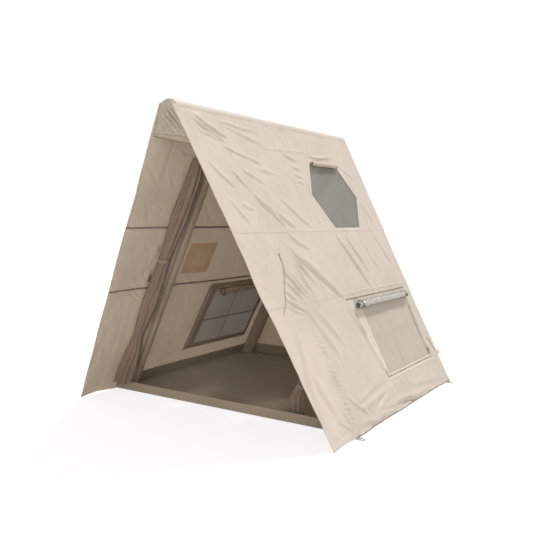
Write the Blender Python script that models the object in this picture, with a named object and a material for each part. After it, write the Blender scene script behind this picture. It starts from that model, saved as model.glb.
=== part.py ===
# Inflatable ridge tent: five air beams carry a cloth roof that reaches the ground on both sides.
# Metres, +Z up. The door looks towards -Y, and the origin is on the ground, mid-length and mid-width.

import math

import bmesh
import bpy
from mathutils import Matrix, Vector

# Outer form of the roof.
BASE_WIDTH = 2.42
HEIGHT = 2.40
LENGTH = 2.92
NOSE_OVERHANG = 0.36  # the roof's front edge leans out this far at the ridge
BACK_LEAN = 0.13  # and its back edge leans in this far

# Cloth and general clearances.
ROOF_CLOTH = 0.003
SEAT_GAP = 0.0003  # between pieces that are sewn or rest together
CUT_OVERRUN = 0.02  # how far a cutter stands out of what it cuts
BACK_INSET = 0.012  # roof hem behind the back wall
SEAM_WIDTH = 0.022
SEAM_PROUD = 0.0012
UPPER_SEAM_SHARE = 0.61417  # of the tent's height
LOWER_SEAM_SHARE = 0.39708

# Air beams, their sleeves and the air passages between them.
BEAM_DIAMETER = 0.115
BLADDER_WALL = 0.0014
SLEEVE_CLOTH = 0.002
BEAM_SETBACK = 0.115  # front edge of the floor to the axis of the front beams
DOOR_LEAN = 0.18  # the front beams lean forward this far at the ridge
AIR_PORT_DIAMETER = 0.024
DOME_DEPTH = 0.03
BEAM_SIDES = 24
PORT_SIDES = 12
DOME_STEPS = 3
RIDGE_STEPS = 16  # flats of the cover over the ridge beam

# Front pocket round the nose of the ridge beam.
POCKET_DROP = 0.255  # top of the tent to its lower edge
POCKET_ARCH = 0.025  # its lower edge rises this much to the middle
POCKET_DEPTH = 0.035
POCKET_INSET = 0.004
POCKET_STEPS = 6

# Floor.
PORCH_DEPTH = 0.42  # front feet of the roof to the front edge of the floor
FLOOR_CLOTH = 0.003
LIP_CLOTH = 0.003
LIP_HEIGHT = 0.12
THRESHOLD_HEIGHT = 0.08
THRESHOLD_CLOTH = 0.004

# Six-sided skylights.
SKYLIGHT_WIDTH = 0.92
SKYLIGHT_EDGE = 0.51  # its top and bottom edges
SKYLIGHT_HEIGHT = 0.64
SKYLIGHT_FROM_BACK = 0.90  # its middle to the back feet of the roof
SKYLIGHT_ABOVE_SEAM = 0.006
NET_CLOTH = 0.001
NET_LAP = 0.02

# Side windows.
WINDOW_WIDTH = 1.02
WINDOW_SILL = 0.3166  # up the slope
WINDOW_BELOW_SEAM = 0.11
WINDOW_TO_BEAM = 0.065
FRAME_BORDER = 0.042
FRAME_CLOTH = 0.0016
GLAZING_STRAP = 0.018
CROSS_STRAP_DROP = 0.36  # window top to the cross strap

# Rolled covers.
COVER_CLOTH = 0.003
COVER_ROLL_RADIUS = 0.031
SKYLIGHT_ROLL_RADIUS = 0.020
ROLL_CORE = 0.006
ROLL_PITCH = 0.007
COVER_FLAP = 0.045
COVER_SHORT = 0.006  # each end of a roll inside its window
ROLL_DROP = 0.012
ROLL_STEPS = 14  # points in a turn

# Zips.
TAPE_WIDTH = 0.028
TAPE_CLOTH = 0.0012
BEAD_WIDTH = 0.006
BEAD_HEIGHT = 0.0025
WINDOW_ZIP_BORDER = 0.024
SLIDER_LENGTH = 0.024
SLIDER_WIDTH = 0.013
SLIDER_HEIGHT = 0.0075
SLIDER_CLEARANCE = 0.0005
PULL_LENGTH = 0.035
PULL_THICKNESS = 0.0016
PULL_WIDTH = 0.0056
PIN_RADIUS = 0.0012
EYE_RADIUS = 0.0030
EAR_THICKNESS = 0.0016
PIN_SIDES = 10
DOOR_ZIP_ANGLE = 50.0  # degrees round the beam, from the doorway towards the front
DOOR_ZIP_START = 0.16
DOOR_ZIP_END = 0.24  # short of the sleeve's top
WINDOW_SLIDER_START = 0.08
BACK_SLIDER_START = 0.09

# Gathered door curtains.
CURTAIN_RADIUS = 0.078
CURTAIN_FOLD = 0.007
CURTAIN_FOLDS = 8
CURTAIN_AROUND = 32
CURTAIN_STEPS = 2  # rings in each row of the table of shares
CURTAIN_TWIST = 0.12  # radians from hem to top
CURTAIN_HEM_LIFT = 0.012
CURTAIN_TO_SLEEVE = 0.014
CURTAIN_DROP = 0.37  # top of the tent to the curtain's top
TIE_HEIGHT = 1.19
TIE_WIDTH = 0.026
TIE_CLOTH = 0.002
TIE_SHARE = 0.50  # fullness under the tie
# Height along the curtain and fullness there, hem to top, as shares.
CURTAIN_SHARES = (
    (0.00, 1.00), (0.08, 0.98), (0.16, 0.76), (0.215, 0.56), (0.27, 0.66), (0.38, 0.78),
    (0.48, 0.66), (0.65, 0.66), (0.76, 0.84), (0.88, 0.80), (1.00, 0.58),
)

# Stove jack in the left wall.
JACK_WIDTH = 0.39
JACK_HEIGHT = 0.31
JACK_OPEN_WIDTH = 0.19
JACK_OPEN_HEIGHT = 0.18
JACK_FROM_FRONT = 0.885  # its middle to the front feet of the roof
JACK_ABOVE_SEAM = 0.10
JACK_CLOTH = 0.0016
JACK_FLAP_MARGIN = 0.05
JACK_FLAP_CLOTH = 0.003

# Back wall with its A-shaped window, closed by a cloth panel.
BACK_WINDOW_APEX = 1.70
BACK_WINDOW_SILL = 0.30
PANEL_CLOTH = 0.002

# Inflation valve.
VALVE_HEIGHT = 0.40  # along the beam from its foot
VALVE_ANGLE = 35.0
VALVE_FLANGE_RADIUS = 0.021
VALVE_FLANGE_DEPTH = 0.006
VALVE_FLANGE_PROUD = 0.003
VALVE_STEM_RADIUS = 0.013
VALVE_BORE_RADIUS = 0.007
VALVE_STEM_DEPTH = 0.010
VALVE_STEM_PROUD = 0.012
VALVE_CAP_RADIUS = 0.0155
VALVE_CAP_THICKNESS = 0.004
VALVE_HINGE_OUT = 0.0045  # cap edge to hinge axis
VALVE_SIDES = 20
VALVE_WINDOW_MARGIN = 0.0012

# Webbing loops for pegs, and the guy points on the front wings.
PEG_LOOP_LENGTH = 0.062
PEG_LOOP_WIDTH = 0.044
PEG_WEBBING = 0.010
PEG_WEBBING_THICKNESS = 0.0025
PEG_FROM_FRONT = 0.374
PEG_FROM_BACK = 0.09
LOOP_STEPS = 8
GUY_FROM_FRONT = 0.278
GUY_BELOW_SEAM = 0.1784  # the patch's top to the upper seam
GUY_PATCH_LENGTH = 0.06
GUY_PATCH_WIDTH = 0.026
GUY_PATCH_CLOTH = 0.002
GUY_CORD_DIAMETER = 0.005
GUY_CORD_STEPS = 2
GUY_CORD_POINTS = 40
# Route of the guy cord from its patch: metres to the front and down the slope.
GUY_ROUTE = (
    (0.000, 0.000), (0.004, 0.020), (0.022, 0.062), (0.050, 0.115), (0.084, 0.168), (0.118, 0.220),
    (0.146, 0.270), (0.170, 0.318), (0.200, 0.356), (0.230, 0.382), (0.253, 0.402),
)

# Worked out from the sizes above.
BEAM_RADIUS = BEAM_DIAMETER / 2
SLEEVE_RADIUS = BEAM_RADIUS + SEAT_GAP + SLEEVE_CLOTH
RIDGE_RADIUS = BEAM_RADIUS + SEAT_GAP + ROOF_CLOTH
RIDGE_Z = HEIGHT - RIDGE_RADIUS
HALF_BASE = BASE_WIDTH / 2
WALL_ANGLE = math.acos(RIDGE_RADIUS / math.hypot(HALF_BASE, RIDGE_Z)) - math.atan2(RIDGE_Z, HALF_BASE)
WALL_SIN, WALL_COS, WALL_TAN = math.sin(WALL_ANGLE), math.cos(WALL_ANGLE), math.tan(WALL_ANGLE)
WALL_TOP = (HALF_BASE - RIDGE_RADIUS * WALL_COS) * WALL_SIN + (RIDGE_Z + RIDGE_RADIUS * WALL_SIN) * WALL_COS
FRONT_FOOT = NOSE_OVERHANG - LENGTH / 2
BACK_FOOT = LENGTH / 2
FLOOR_FRONT = FRONT_FOOT + PORCH_DEPTH
BACK_SLOPE = BACK_LEAN / HEIGHT
DOOR_SLOPE = DOOR_LEAN / HEIGHT
UPPER_SEAM = UPPER_SEAM_SHARE * HEIGHT / WALL_COS
LOWER_SEAM = LOWER_SEAM_SHARE * HEIGHT / WALL_COS
WINDOW_HEIGHT = LOWER_SEAM - WINDOW_BELOW_SEAM - WINDOW_SILL
GUY_HEIGHT = UPPER_SEAM - GUY_BELOW_SEAM - GUY_PATCH_LENGTH
POCKET_HEIGHT = HEIGHT - POCKET_DROP
CURTAIN_TOP = HEIGHT - CURTAIN_DROP
LEG_DEPTH = ROOF_CLOTH + LIP_CLOTH + 2 * SEAT_GAP + SLEEVE_RADIUS
LEG_FOOT_Z = FLOOR_CLOTH + SEAT_GAP
NET_FACE = -(ROOF_CLOTH + SEAT_GAP)  # how deep the wall's inner pieces lie, one on the other
FRAME_FACE = NET_FACE - NET_CLOTH - SEAT_GAP
ROLL_FACE = FRAME_FACE - FRAME_CLOTH - SEAT_GAP


def front_edge(z):
    return FRONT_FOOT - NOSE_OVERHANG * z / HEIGHT


def back_edge(z):
    return BACK_FOOT - BACK_SLOPE * z


def back_wall_outer(z):
    return back_edge(z) - BACK_INSET


def back_wall_inner(z):
    return back_wall_outer(z) - ROOF_CLOTH


def front_leg_y(z):
    return FLOOR_FRONT + BEAM_SETBACK - DOOR_SLOPE * z


def back_leg_y(z):
    return back_wall_inner(z) - LIP_CLOTH - 2 * SEAT_GAP - SLEEVE_RADIUS * math.hypot(1, BACK_SLOPE)


def wall_x(z, depth):
    """Half the tent's width at height z, on the plane that lies `depth` inside the roof's outer face."""
    return HALF_BASE - z * WALL_TAN - depth / WALL_COS


def wall_height(up, out):
    """Height above ground of a point `up` the slope and `out` from the roof's outer face."""
    return up * WALL_COS + out * WALL_SIN


def side_name(side):
    return "right" if side > 0 else "left"


# Finishes.

def finish(name, colour, roughness, metallic=0.0):
    made = bpy.data.materials.new(name)
    made.use_nodes = True
    shader = made.node_tree.nodes["Principled BSDF"]
    shader.inputs["Base Color"].default_value = (*colour, 1.0)
    shader.inputs["Roughness"].default_value = roughness
    shader.inputs["Metallic"].default_value = metallic
    made.diffuse_color = (*colour, 1.0)
    return made


def make_finishes():
    return {
        "canvas": finish("canvas", (0.70, 0.62, 0.53), 0.75),
        "cover": finish("cover", (0.66, 0.58, 0.50), 0.7),
        "clear_sheet": finish("clear_sheet", (0.72, 0.70, 0.67), 0.25),
        "curtain": finish("curtain", (0.42, 0.34, 0.27), 0.8),
        "sleeve": finish("sleeve", (0.36, 0.29, 0.23), 0.8),
        "bladder": finish("bladder", (0.55, 0.53, 0.50), 0.35),
        "net": finish("net", (0.40, 0.38, 0.34), 0.9),
        "floor": finish("floor", (0.28, 0.23, 0.19), 0.6),
        "webbing": finish("webbing", (0.33, 0.26, 0.20), 0.85),
        "tape": finish("tape", (0.12, 0.09, 0.07), 0.6),
        "metal": finish("metal", (0.55, 0.54, 0.52), 0.3, 1.0),
        "valve": finish("valve", (0.10, 0.10, 0.10), 0.45),
        "jack": finish("jack", (0.40, 0.27, 0.14), 0.8),
        "jack_centre": finish("jack_centre", (0.62, 0.48, 0.28), 0.8),
        "cord": finish("cord", (0.30, 0.26, 0.21), 0.8),
    }


# Frames: empties that the pieces hang on.

def frame(name, matrix):
    empty = bpy.data.objects.new(name, None)
    empty.matrix_world = matrix
    bpy.context.scene.collection.objects.link(empty)
    return empty


def axes(origin, x, y, z):
    made = Matrix((x, y, z)).transposed().to_4x4()
    made.translation = origin
    return made


def wall_matrix(side):
    """Origin at the foot of the wall: local X along the tent, Y up the slope, Z out of the roof."""
    return axes(
        (side * HALF_BASE, 0, 0),
        (0, side, 0),
        (-side * WALL_SIN, 0, WALL_COS),
        (side * WALL_COS, 0, WALL_SIN),
    )


def leg_matrix(side, leg_y):
    """Origin at a beam's foot on the floor: local X towards the doorway, Z up the beam."""
    def on_axis(z):
        return Vector((side * wall_x(z, LEG_DEPTH), leg_y(z), z))

    foot = on_axis(LEG_FOOT_Z)
    up = (on_axis(RIDGE_Z) - foot).normalized()
    inward = Vector((-side * WALL_COS, 0, -WALL_SIN))
    return axes(foot, inward, up.cross(inward), up)


# Meshes.

def add(name, material, mesh, parent=None, matrix=None):
    data = bpy.data.meshes.new(name)
    bmesh.ops.recalc_face_normals(mesh, faces=mesh.faces)
    mesh.to_mesh(data)
    mesh.free()
    data.shade_smooth()
    data.set_sharp_from_angle(angle=math.radians(35))
    obj = bpy.data.objects.new(name, data)
    bpy.context.scene.collection.objects.link(obj)
    obj.parent = parent
    if matrix is not None:
        obj.matrix_basis = matrix
    if material is not None:
        data.materials.append(material)
    return obj


def prism(name, material, outline, near, far, parent=None, matrix=None):
    """A solid between near(a, b) and far(a, b), for each point (a, b) of a closed outline."""
    mesh = bmesh.new()
    first = [mesh.verts.new(near(*point)) for point in outline]
    second = [mesh.verts.new(far(*point)) for point in outline]
    mesh.faces.new(first)
    mesh.faces.new(second)
    for i in range(len(outline)):
        mesh.faces.new((first[i - 1], first[i], second[i], second[i - 1]))
    return add(name, material, mesh, parent, matrix)


def loft(name, material, rings, parent=None, matrix=None, joined=False):
    """A skin over rings of points. Its two ends are capped, or joined to each other."""
    mesh = bmesh.new()
    made = [[mesh.verts.new(point) for point in ring] for ring in rings]
    for k in range(0 if joined else 1, len(made)):
        low, high = made[k - 1], made[k]
        for i in range(len(low)):
            mesh.faces.new((low[i - 1], low[i], high[i], high[i - 1]))
    if not joined:
        mesh.faces.new(made[0])
        mesh.faces.new(made[-1])
    return add(name, material, mesh, parent, matrix)


def circle(radius, sides, turn=0.0):
    return [
        (radius * math.cos(2 * math.pi * i / sides + turn), radius * math.sin(2 * math.pi * i / sides + turn))
        for i in range(sides)
    ]


def cylinder(name, material, radius, low, high, sides, parent=None, matrix=None):
    """A round bar along local Z."""
    ring = circle(radius, sides)
    return loft(name, material, [[(x, y, z) for x, y in ring] for z in (low, high)], parent, matrix)


def box(name, material, low, high, parent=None, matrix=None):
    outline = [(low[0], low[1]), (high[0], low[1]), (high[0], high[1]), (low[0], high[1])]
    return prism(
        name, material, outline,
        lambda x, y: (x, y, low[2]), lambda x, y: (x, y, high[2]), parent, matrix,
    )


def boolean(obj, other, operation):
    other.hide_render = True
    other.display_type = "WIRE"
    modifier = obj.modifiers.new(other.name, "BOOLEAN")
    modifier.object = other
    modifier.operation = operation


def cut(obj, *cutters):
    for cutter in cutters:
        boolean(obj, cutter, "DIFFERENCE")


def join(obj, *others):
    for other in others:
        boolean(obj, other, "UNION")


def grow(outline, by):
    """A convex outline moved outwards by a distance, or inwards by a negative one."""
    turn = sum(a[0] * b[1] - b[0] * a[1] for a, b in zip(outline, outline[1:] + outline[:1]))
    by = math.copysign(by, by * turn)
    moved = []
    for before, point, after in zip(outline[-1:] + outline[:-1], outline, outline[1:] + outline[:1]):
        first = (Vector(point) - Vector(before)).normalized()
        second = (Vector(after) - Vector(point)).normalized()
        first, second = Vector((first.y, -first.x)), Vector((second.y, -second.x))
        mitre = first + second
        moved.append(tuple(Vector(point) + mitre * (by / mitre.dot(first))))
    return moved


def rectangle(middle, width, low, high):
    return [
        (middle - width / 2, low), (middle + width / 2, low),
        (middle + width / 2, high), (middle - width / 2, high),
    ]


# Pieces of the roof's two walls.

def wall_slab(name, material, wall, side, outline, low, high):
    """A slab on a wall: outline as (y, up the slope), between two distances out of the roof's face."""
    return prism(
        name, material, outline,
        lambda y, up: (side * y, up, low), lambda y, up: (side * y, up, high), wall,
    )


def roof_section():
    """The roof wall's cross-section as (up, out), with a felled seam standing out at each cloth joint."""
    points = [(ROOF_CLOTH * WALL_TAN, -ROOF_CLOTH), (0, 0)]
    for seam in (LOWER_SEAM, UPPER_SEAM):
        points += [
            (seam - SEAM_WIDTH / 2, 0), (seam - SEAM_WIDTH / 2, SEAM_PROUD),
            (seam + SEAM_WIDTH / 2, SEAM_PROUD), (seam + SEAM_WIDTH / 2, 0),
        ]
    top = WALL_TOP - SEAT_GAP / 2
    return points + [(top, 0), (top, -ROOF_CLOTH)]


def skylight_outline():
    middle = BACK_FOOT - SKYLIGHT_FROM_BACK
    low = UPPER_SEAM + SEAM_WIDTH / 2 + SKYLIGHT_ABOVE_SEAM
    half, edge = SKYLIGHT_WIDTH / 2, SKYLIGHT_EDGE / 2
    centre, high = low + SKYLIGHT_HEIGHT / 2, low + SKYLIGHT_HEIGHT
    return [
        (middle - edge, low), (middle + edge, low), (middle + half, centre),
        (middle + edge, high), (middle - edge, high), (middle - half, centre),
    ]


def window_outline():
    high = LOWER_SEAM - WINDOW_BELOW_SEAM
    rear = back_leg_y(wall_height(high, -LEG_DEPTH)) - SLEEVE_RADIUS - WINDOW_TO_BEAM
    return rectangle(rear - WINDOW_WIDTH / 2, WINDOW_WIDTH, high - WINDOW_HEIGHT, high)


def jack_outline(width, height):
    middle = FRONT_FOOT + JACK_FROM_FRONT
    centre = LOWER_SEAM + SEAM_WIDTH / 2 + JACK_ABOVE_SEAM + JACK_HEIGHT / 2
    return rectangle(middle, width, centre - height / 2, centre + height / 2)


def roof_panel(side, wall, looks):
    panel = prism(
        side_name(side) + "_roof_panel", looks["canvas"], roof_section(),
        lambda up, out: (side * front_edge(wall_height(up, out)), up, out),
        lambda up, out: (side * back_edge(wall_height(up, out)), up, out),
        wall,
    )
    holes = {"skylight": skylight_outline(), "window": window_outline()}
    if side < 0:
        holes["jack"] = jack_outline(JACK_OPEN_WIDTH, JACK_OPEN_HEIGHT)
    for name, outline in holes.items():
        cut(panel, wall_slab(
            f"cut_{side_name(side)}_{name}", None, wall, side, outline, -CUT_OVERRUN, CUT_OVERRUN
        ))


def rolled_cover(name, material, wall, side, y_span, hem, radius, face, out):
    """A cloth cover rolled up and hung by its flap. Its spiral grows by ROLL_PITCH a turn.

    hem is how far up the slope the roll's centre lies, face the distance of what the flap lies
    on, and out is 1 for a roll outside the roof and -1 for one inside.
    """
    turns = (radius - ROLL_CORE) / ROLL_PITCH
    steps = round(turns * ROLL_STEPS)
    centre = face + out * radius
    outer, inner = [], []
    for i in range(steps + 1):
        turn = turns * (i / steps - 1)
        for edge, line in ((radius, outer), (radius - COVER_CLOTH, inner)):
            arm = edge + turn * ROLL_PITCH
            line.append((
                hem + arm * math.sin(2 * math.pi * turn), centre - out * arm * math.cos(2 * math.pi * turn)
            ))
    flap = [(hem + COVER_FLAP, face), (hem + COVER_FLAP, face + out * COVER_CLOTH)]
    return prism(
        name, material, outer + flap + inner[::-1],
        lambda up, across: (side * y_span[0], up, across),
        lambda up, across: (side * y_span[1], up, across),
        wall,
    )


def skylight(side, wall, looks):
    outline = skylight_outline()
    wall_slab(
        side_name(side) + "_skylight_net", looks["net"], wall, side,
        grow(outline, NET_LAP), NET_FACE - NET_CLOTH, NET_FACE,
    )
    rear, front = outline[3][0], outline[4][0]
    rolled_cover(
        side_name(side) + "_skylight_cover_roll", looks["cover"], wall, side,
        (front + COVER_SHORT, rear - COVER_SHORT), outline[3][1] - ROLL_DROP,
        SKYLIGHT_ROLL_RADIUS, SEAT_GAP, 1,
    )


def side_window(side, wall, looks):
    outline = window_outline()
    (front, low), (rear, _), (_, high), _ = outline
    name = side_name(side)
    wall_slab(
        name + "_window_net", looks["net"], wall, side,
        grow(outline, NET_LAP), NET_FACE - NET_CLOTH, NET_FACE,
    )
    window_frame = wall_slab(
        name + "_window_frame", looks["sleeve"], wall, side,
        grow(outline, FRAME_BORDER), FRAME_FACE - FRAME_CLOTH, FRAME_FACE,
    )
    middle, strap = (front + rear) / 2, GLAZING_STRAP / 2
    cross = high - CROSS_STRAP_DROP
    for column, (start, end) in enumerate(((front, middle - strap), (middle + strap, rear))):
        for row, (bottom, top) in enumerate(((low, cross - strap), (cross + strap, high))):
            pane = [(start, bottom), (end, bottom), (end, top), (start, top)]
            cut(window_frame, wall_slab(
                f"cut_{name}_pane_{column}{row}", None, wall, side, pane,
                FRAME_FACE - CUT_OVERRUN, FRAME_FACE + CUT_OVERRUN,
            ))
    span = (front + COVER_SHORT, rear - COVER_SHORT)
    faces = (("inner", "cover", ROLL_FACE, -1), ("outer", "clear_sheet", SEAT_GAP, 1))
    for where, material, face, out in faces:
        rolled_cover(
            f"{name}_{where}_window_roll", looks[material], wall, side, span,
            high - ROLL_DROP, COVER_ROLL_RADIUS, face, out,
        )


def stove_jack(wall, looks):
    opening = jack_outline(JACK_OPEN_WIDTH, JACK_OPEN_HEIGHT)
    border = jack_outline(JACK_WIDTH, JACK_HEIGHT)
    high_face = NET_FACE
    patch = wall_slab(
        "stove_jack_frame", looks["jack"], wall, -1, border, high_face - JACK_CLOTH, high_face
    )
    cut(patch, wall_slab(
        "cut_stove_jack_frame", None, wall, -1, opening, high_face - CUT_OVERRUN, high_face + CUT_OVERRUN
    ))
    low_face = high_face - JACK_CLOTH - SEAT_GAP
    wall_slab(
        "stove_jack_panel", looks["jack_centre"], wall, -1,
        grow(opening, NET_LAP), low_face - JACK_CLOTH, low_face,
    )
    # The rain flap outside turns on its top edge, so its origin is there.
    cover = grow(opening, JACK_FLAP_MARGIN)
    front, rear, high = cover[0][0], cover[1][0], cover[2][1]
    hinge = Matrix.Translation((0, high, SEAT_GAP + JACK_FLAP_CLOTH / 2))
    low = cover[0][1] - high
    box(
        "stove_jack_flap", looks["canvas"],
        (-rear, low, -JACK_FLAP_CLOTH / 2), (-front, -SEAT_GAP, JACK_FLAP_CLOTH / 2), wall, hinge,
    )


# Zips.

def zip_section():
    """Half of the tape's width, its thickness and the bead of teeth, as (across, up)."""
    tape, bead = TAPE_WIDTH / 2, BEAD_WIDTH / 2
    top = TAPE_CLOTH + BEAD_HEIGHT
    return [(-tape, 0), (tape, 0), (tape, TAPE_CLOTH), (bead, TAPE_CLOTH), (bead, top),
            (-bead, top), (-bead, TAPE_CLOTH), (-tape, TAPE_CLOTH)]


def zip_tape(name, material, path, place, parent=None, matrix=None):
    """The zip's section carried along a path of (p, q) points, mitred where it turns."""
    points = [Vector(point) for point in path]
    runs = [(after - before).normalized() for before, after in zip(points, points[1:])]
    sides = [Vector((-run.y, run.x)) for run in runs]
    rings = []
    for i, point in enumerate(points):
        first, second = sides[max(i - 1, 0)], sides[min(i, len(sides) - 1)]
        mitre = (first + second).normalized()
        mitre /= mitre.dot(first)
        rings.append([place(*(point + mitre * across), up) for across, up in zip_section()])
    return loft(name, material, rings, parent, matrix)


def slider_blank(name, material, pull, parent, matrix):
    """A slider saddled on the bead: local X along the zip, Z out of the tape."""
    low, high = TAPE_CLOTH + SLIDER_CLEARANCE, TAPE_CLOTH + SLIDER_HEIGHT
    half, nose = SLIDER_LENGTH / 2, SLIDER_LENGTH / 6
    outline = [(half, low), (half, high - nose / 2), (half - nose, high)]
    if pull:
        tail = -half - PULL_LENGTH
        outline += [(tail, high), (tail, high - PULL_THICKNESS), (-half, high - PULL_THICKNESS)]
    else:
        outline += [(-half, high)]
    outline += [(-half, low)]
    body = prism(
        name, material, outline,
        lambda x, z: (x, -SLIDER_WIDTH / 2, z), lambda x, z: (x, SLIDER_WIDTH / 2, z), parent, matrix,
    )
    groove = BEAD_WIDTH / 2 + SLIDER_CLEARANCE
    cut(body, box(
        "cut_" + name, None,
        (-SLIDER_LENGTH, -groove, 0),
        (half + CUT_OVERRUN, groove, TAPE_CLOTH + BEAD_HEIGHT + SLIDER_CLEARANCE), parent, matrix,
    ))
    return body


def across_bar(name, radius, half_width, x, z, sides, parent, matrix):
    """A round bar along local Y."""
    ring = circle(radius, sides, math.pi / sides)
    return loft(
        name, None, [[(x + a, y, z + b) for a, b in ring] for y in (-half_width, half_width)], parent, matrix
    )


def add_ears(body, x, z, root, eye_width, parent, matrix):
    """Two ears on a body with a pin between them, on a hinge axis along local Y."""
    inner = eye_width / 2 + SLIDER_CLEARANCE
    outer = inner + EAR_THICKNESS
    for number, (near, far) in enumerate(((inner, outer), (-outer, -inner))):
        outline = [(x - EYE_RADIUS, root), (x + EYE_RADIUS, root), (x + EYE_RADIUS, z + EYE_RADIUS / 2),
                   (x + EYE_RADIUS / 2, z + EYE_RADIUS), (x - EYE_RADIUS / 2, z + EYE_RADIUS),
                   (x - EYE_RADIUS, z + EYE_RADIUS / 2)]
        join(body, prism(
            f"ear_{number}_{body.name}", None, outline,
            lambda a, b, y=near: (a, y, b), lambda a, b, y=far: (a, y, b), parent, matrix,
        ))
    join(body, across_bar(
        "pin_" + body.name, PIN_RADIUS, inner + EAR_THICKNESS / 2, x, z, PIN_SIDES, parent, matrix
    ))


def add_eye(piece, width, parent, matrix):
    """An eye round a hinge pin at the piece's own origin."""
    join(piece, across_bar("eye_" + piece.name, EYE_RADIUS, width / 2, 0, 0, 2 * PIN_SIDES, parent, matrix))
    cut(piece, across_bar(
        "cut_eye_" + piece.name, PIN_RADIUS + SLIDER_CLEARANCE, width, 0, 0, PIN_SIDES, parent, matrix
    ))


def slider_with_pull(name, looks, parent, matrix, hang):
    """The door's slider, with a pull tab on a pin in its ears that hangs out from the zip by an angle."""
    body = slider_blank(name + "_slider", looks["metal"], False, parent, matrix)
    top = TAPE_CLOTH + SLIDER_HEIGHT
    axis_z = top + EYE_RADIUS + SLIDER_CLEARANCE
    add_ears(body, 0, axis_z, top - PULL_THICKNESS, PULL_WIDTH, parent, matrix)
    here = matrix @ Matrix.Translation((0, 0, axis_z)) @ Matrix.Rotation(hang, 4, "Y")
    pull = box(
        name + "_pull", looks["metal"],
        (-PULL_LENGTH, -PULL_WIDTH / 2, -PULL_THICKNESS / 2),
        (-PIN_RADIUS - SLIDER_CLEARANCE, PULL_WIDTH / 2, PULL_THICKNESS / 2), parent, here,
    )
    add_eye(pull, PULL_WIDTH, parent, here)


def window_zip(side, wall, looks):
    """A zip round three sides of a window, with one slider at the foot of its rear leg."""
    (front, low), (rear, _), (_, high), _ = grow(window_outline(), WINDOW_ZIP_BORDER)
    high -= WINDOW_ZIP_BORDER
    zip_tape(
        side_name(side) + "_window_zip", looks["tape"],
        [(front, high), (front, low), (rear, low), (rear, high)],
        lambda y, up, out: (side * y, up, SEAT_GAP + out), wall,
    )
    start = low + WINDOW_SLIDER_START
    place = axes((side * rear, start, SEAT_GAP), (0, 1, 0), (-1, 0, 0), (0, 0, 1))
    slider_blank(side_name(side) + "_window_slider", looks["metal"], True, wall, place)


# The front beams' zips and curtains.

def door_zip(side, stand, matrix, length, looks):
    angle = side * math.radians(DOOR_ZIP_ANGLE)
    out = Vector((math.cos(angle), math.sin(angle), 0))
    up = Vector((0, 0, 1))
    name = side_name(side) + "_door"
    place = axes(out * (SLEEVE_RADIUS + SEAT_GAP), up, out.cross(up), out)
    top = length - DOOR_ZIP_END
    zip_tape(
        name + "_zip", looks["tape"], [(DOOR_ZIP_START, 0), (top, 0)],
        lambda p, q, height: (p, q, height), stand, place,
    )
    here = place @ Matrix.Translation((DOOR_ZIP_START + PULL_LENGTH + SLIDER_LENGTH, 0, 0))
    world = matrix @ here
    slider_with_pull(name, looks, stand, here, math.atan2(-world.col[2].z, world.col[0].z))


def curtain_rows():
    """Height above ground and radius of the gathered cloth, with a level stretch under the tie."""
    low = THRESHOLD_HEIGHT + CURTAIN_HEM_LIFT
    rows = [(low + (CURTAIN_TOP - low) * share, CURTAIN_RADIUS * full) for share, full in CURTAIN_SHARES]
    rows += [(TIE_HEIGHT + end * TIE_WIDTH, CURTAIN_RADIUS * TIE_SHARE) for end in (-1, 1)]
    rows.sort()
    made = []
    for (height, radius), (next_height, next_radius) in zip(rows, rows[1:]):
        for step in range(CURTAIN_STEPS):
            part = step / CURTAIN_STEPS
            eased = part * part * (3 - 2 * part)
            made.append((height + (next_height - height) * part, radius + (next_radius - radius) * eased))
    return made + rows[-1:]


def tie_bore(radius):
    """Radius of a tie's corners where its flats clear the folds of cloth of this radius."""
    return (radius + CURTAIN_FOLD + SEAT_GAP) / math.cos(math.pi / BEAM_SIDES)


def curtain_centre(side, radius):
    """Where cloth of this radius hangs in the beam's frame: against the roof, in front of the beam."""
    reach = tie_bore(radius) + TIE_CLOTH + SEAT_GAP
    return ROOF_CLOTH - LEG_DEPTH + reach, side * (SLEEVE_RADIUS + CURTAIN_TO_SLEEVE + reach)


def curtain(side, stand, matrix, looks):
    """Cloth gathered into lengthwise folds beside the front beam, drawn in at its ties."""
    rows = curtain_rows()
    low, high = rows[0][0], rows[-1][0]
    rings = []
    for height, radius in rows:
        x, y = curtain_centre(side, radius)
        twist = side * CURTAIN_TWIST * (height - low) / (high - low)
        ring = []
        for i in range(CURTAIN_AROUND):
            turn = 2 * math.pi * i / CURTAIN_AROUND
            arm = radius + CURTAIN_FOLD * math.cos(CURTAIN_FOLDS * turn)
            ring.append((x + arm * math.cos(turn + twist), y + arm * math.sin(turn + twist), height))
        rings.append(level_ring(matrix, ring))
    loft(side_name(side) + "_door_curtain", looks["curtain"], rings, stand)

    x, y = curtain_centre(side, CURTAIN_RADIUS * TIE_SHARE)
    inner, half = tie_bore(CURTAIN_RADIUS * TIE_SHARE), TIE_WIDTH / 2
    outer = inner + TIE_CLOTH
    rings = [
        level_ring(matrix, [(x + a, y + b, TIE_HEIGHT + offset) for a, b in circle(edge, BEAM_SIDES)])
        for edge, offset in ((inner, -half), (inner, half), (outer, half), (outer, -half))
    ]
    loft(side_name(side) + "_curtain_tie", looks["webbing"], rings, stand, joined=True)


# Air beams.

def level_ring(matrix, ring):
    """Points (x, y, height) round a beam: moved along the beam until each is at its own height."""
    level = matrix.to_3x3().transposed() @ Vector((0, 0, 1))
    base = matrix.translation.z
    return [(x, y, (height - base - level.x * x - level.y * y) / level.z) for x, y, height in ring]


def foot_ring(radius, matrix, height=LEG_FOOT_Z):
    """A level ring round a beam, on which it stands flat."""
    return level_ring(matrix, [(x, y, height) for x, y in circle(radius, BEAM_SIDES)])


def square_ring(radius, z):
    return [(x, y, z) for x, y in circle(radius, BEAM_SIDES)]


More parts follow.
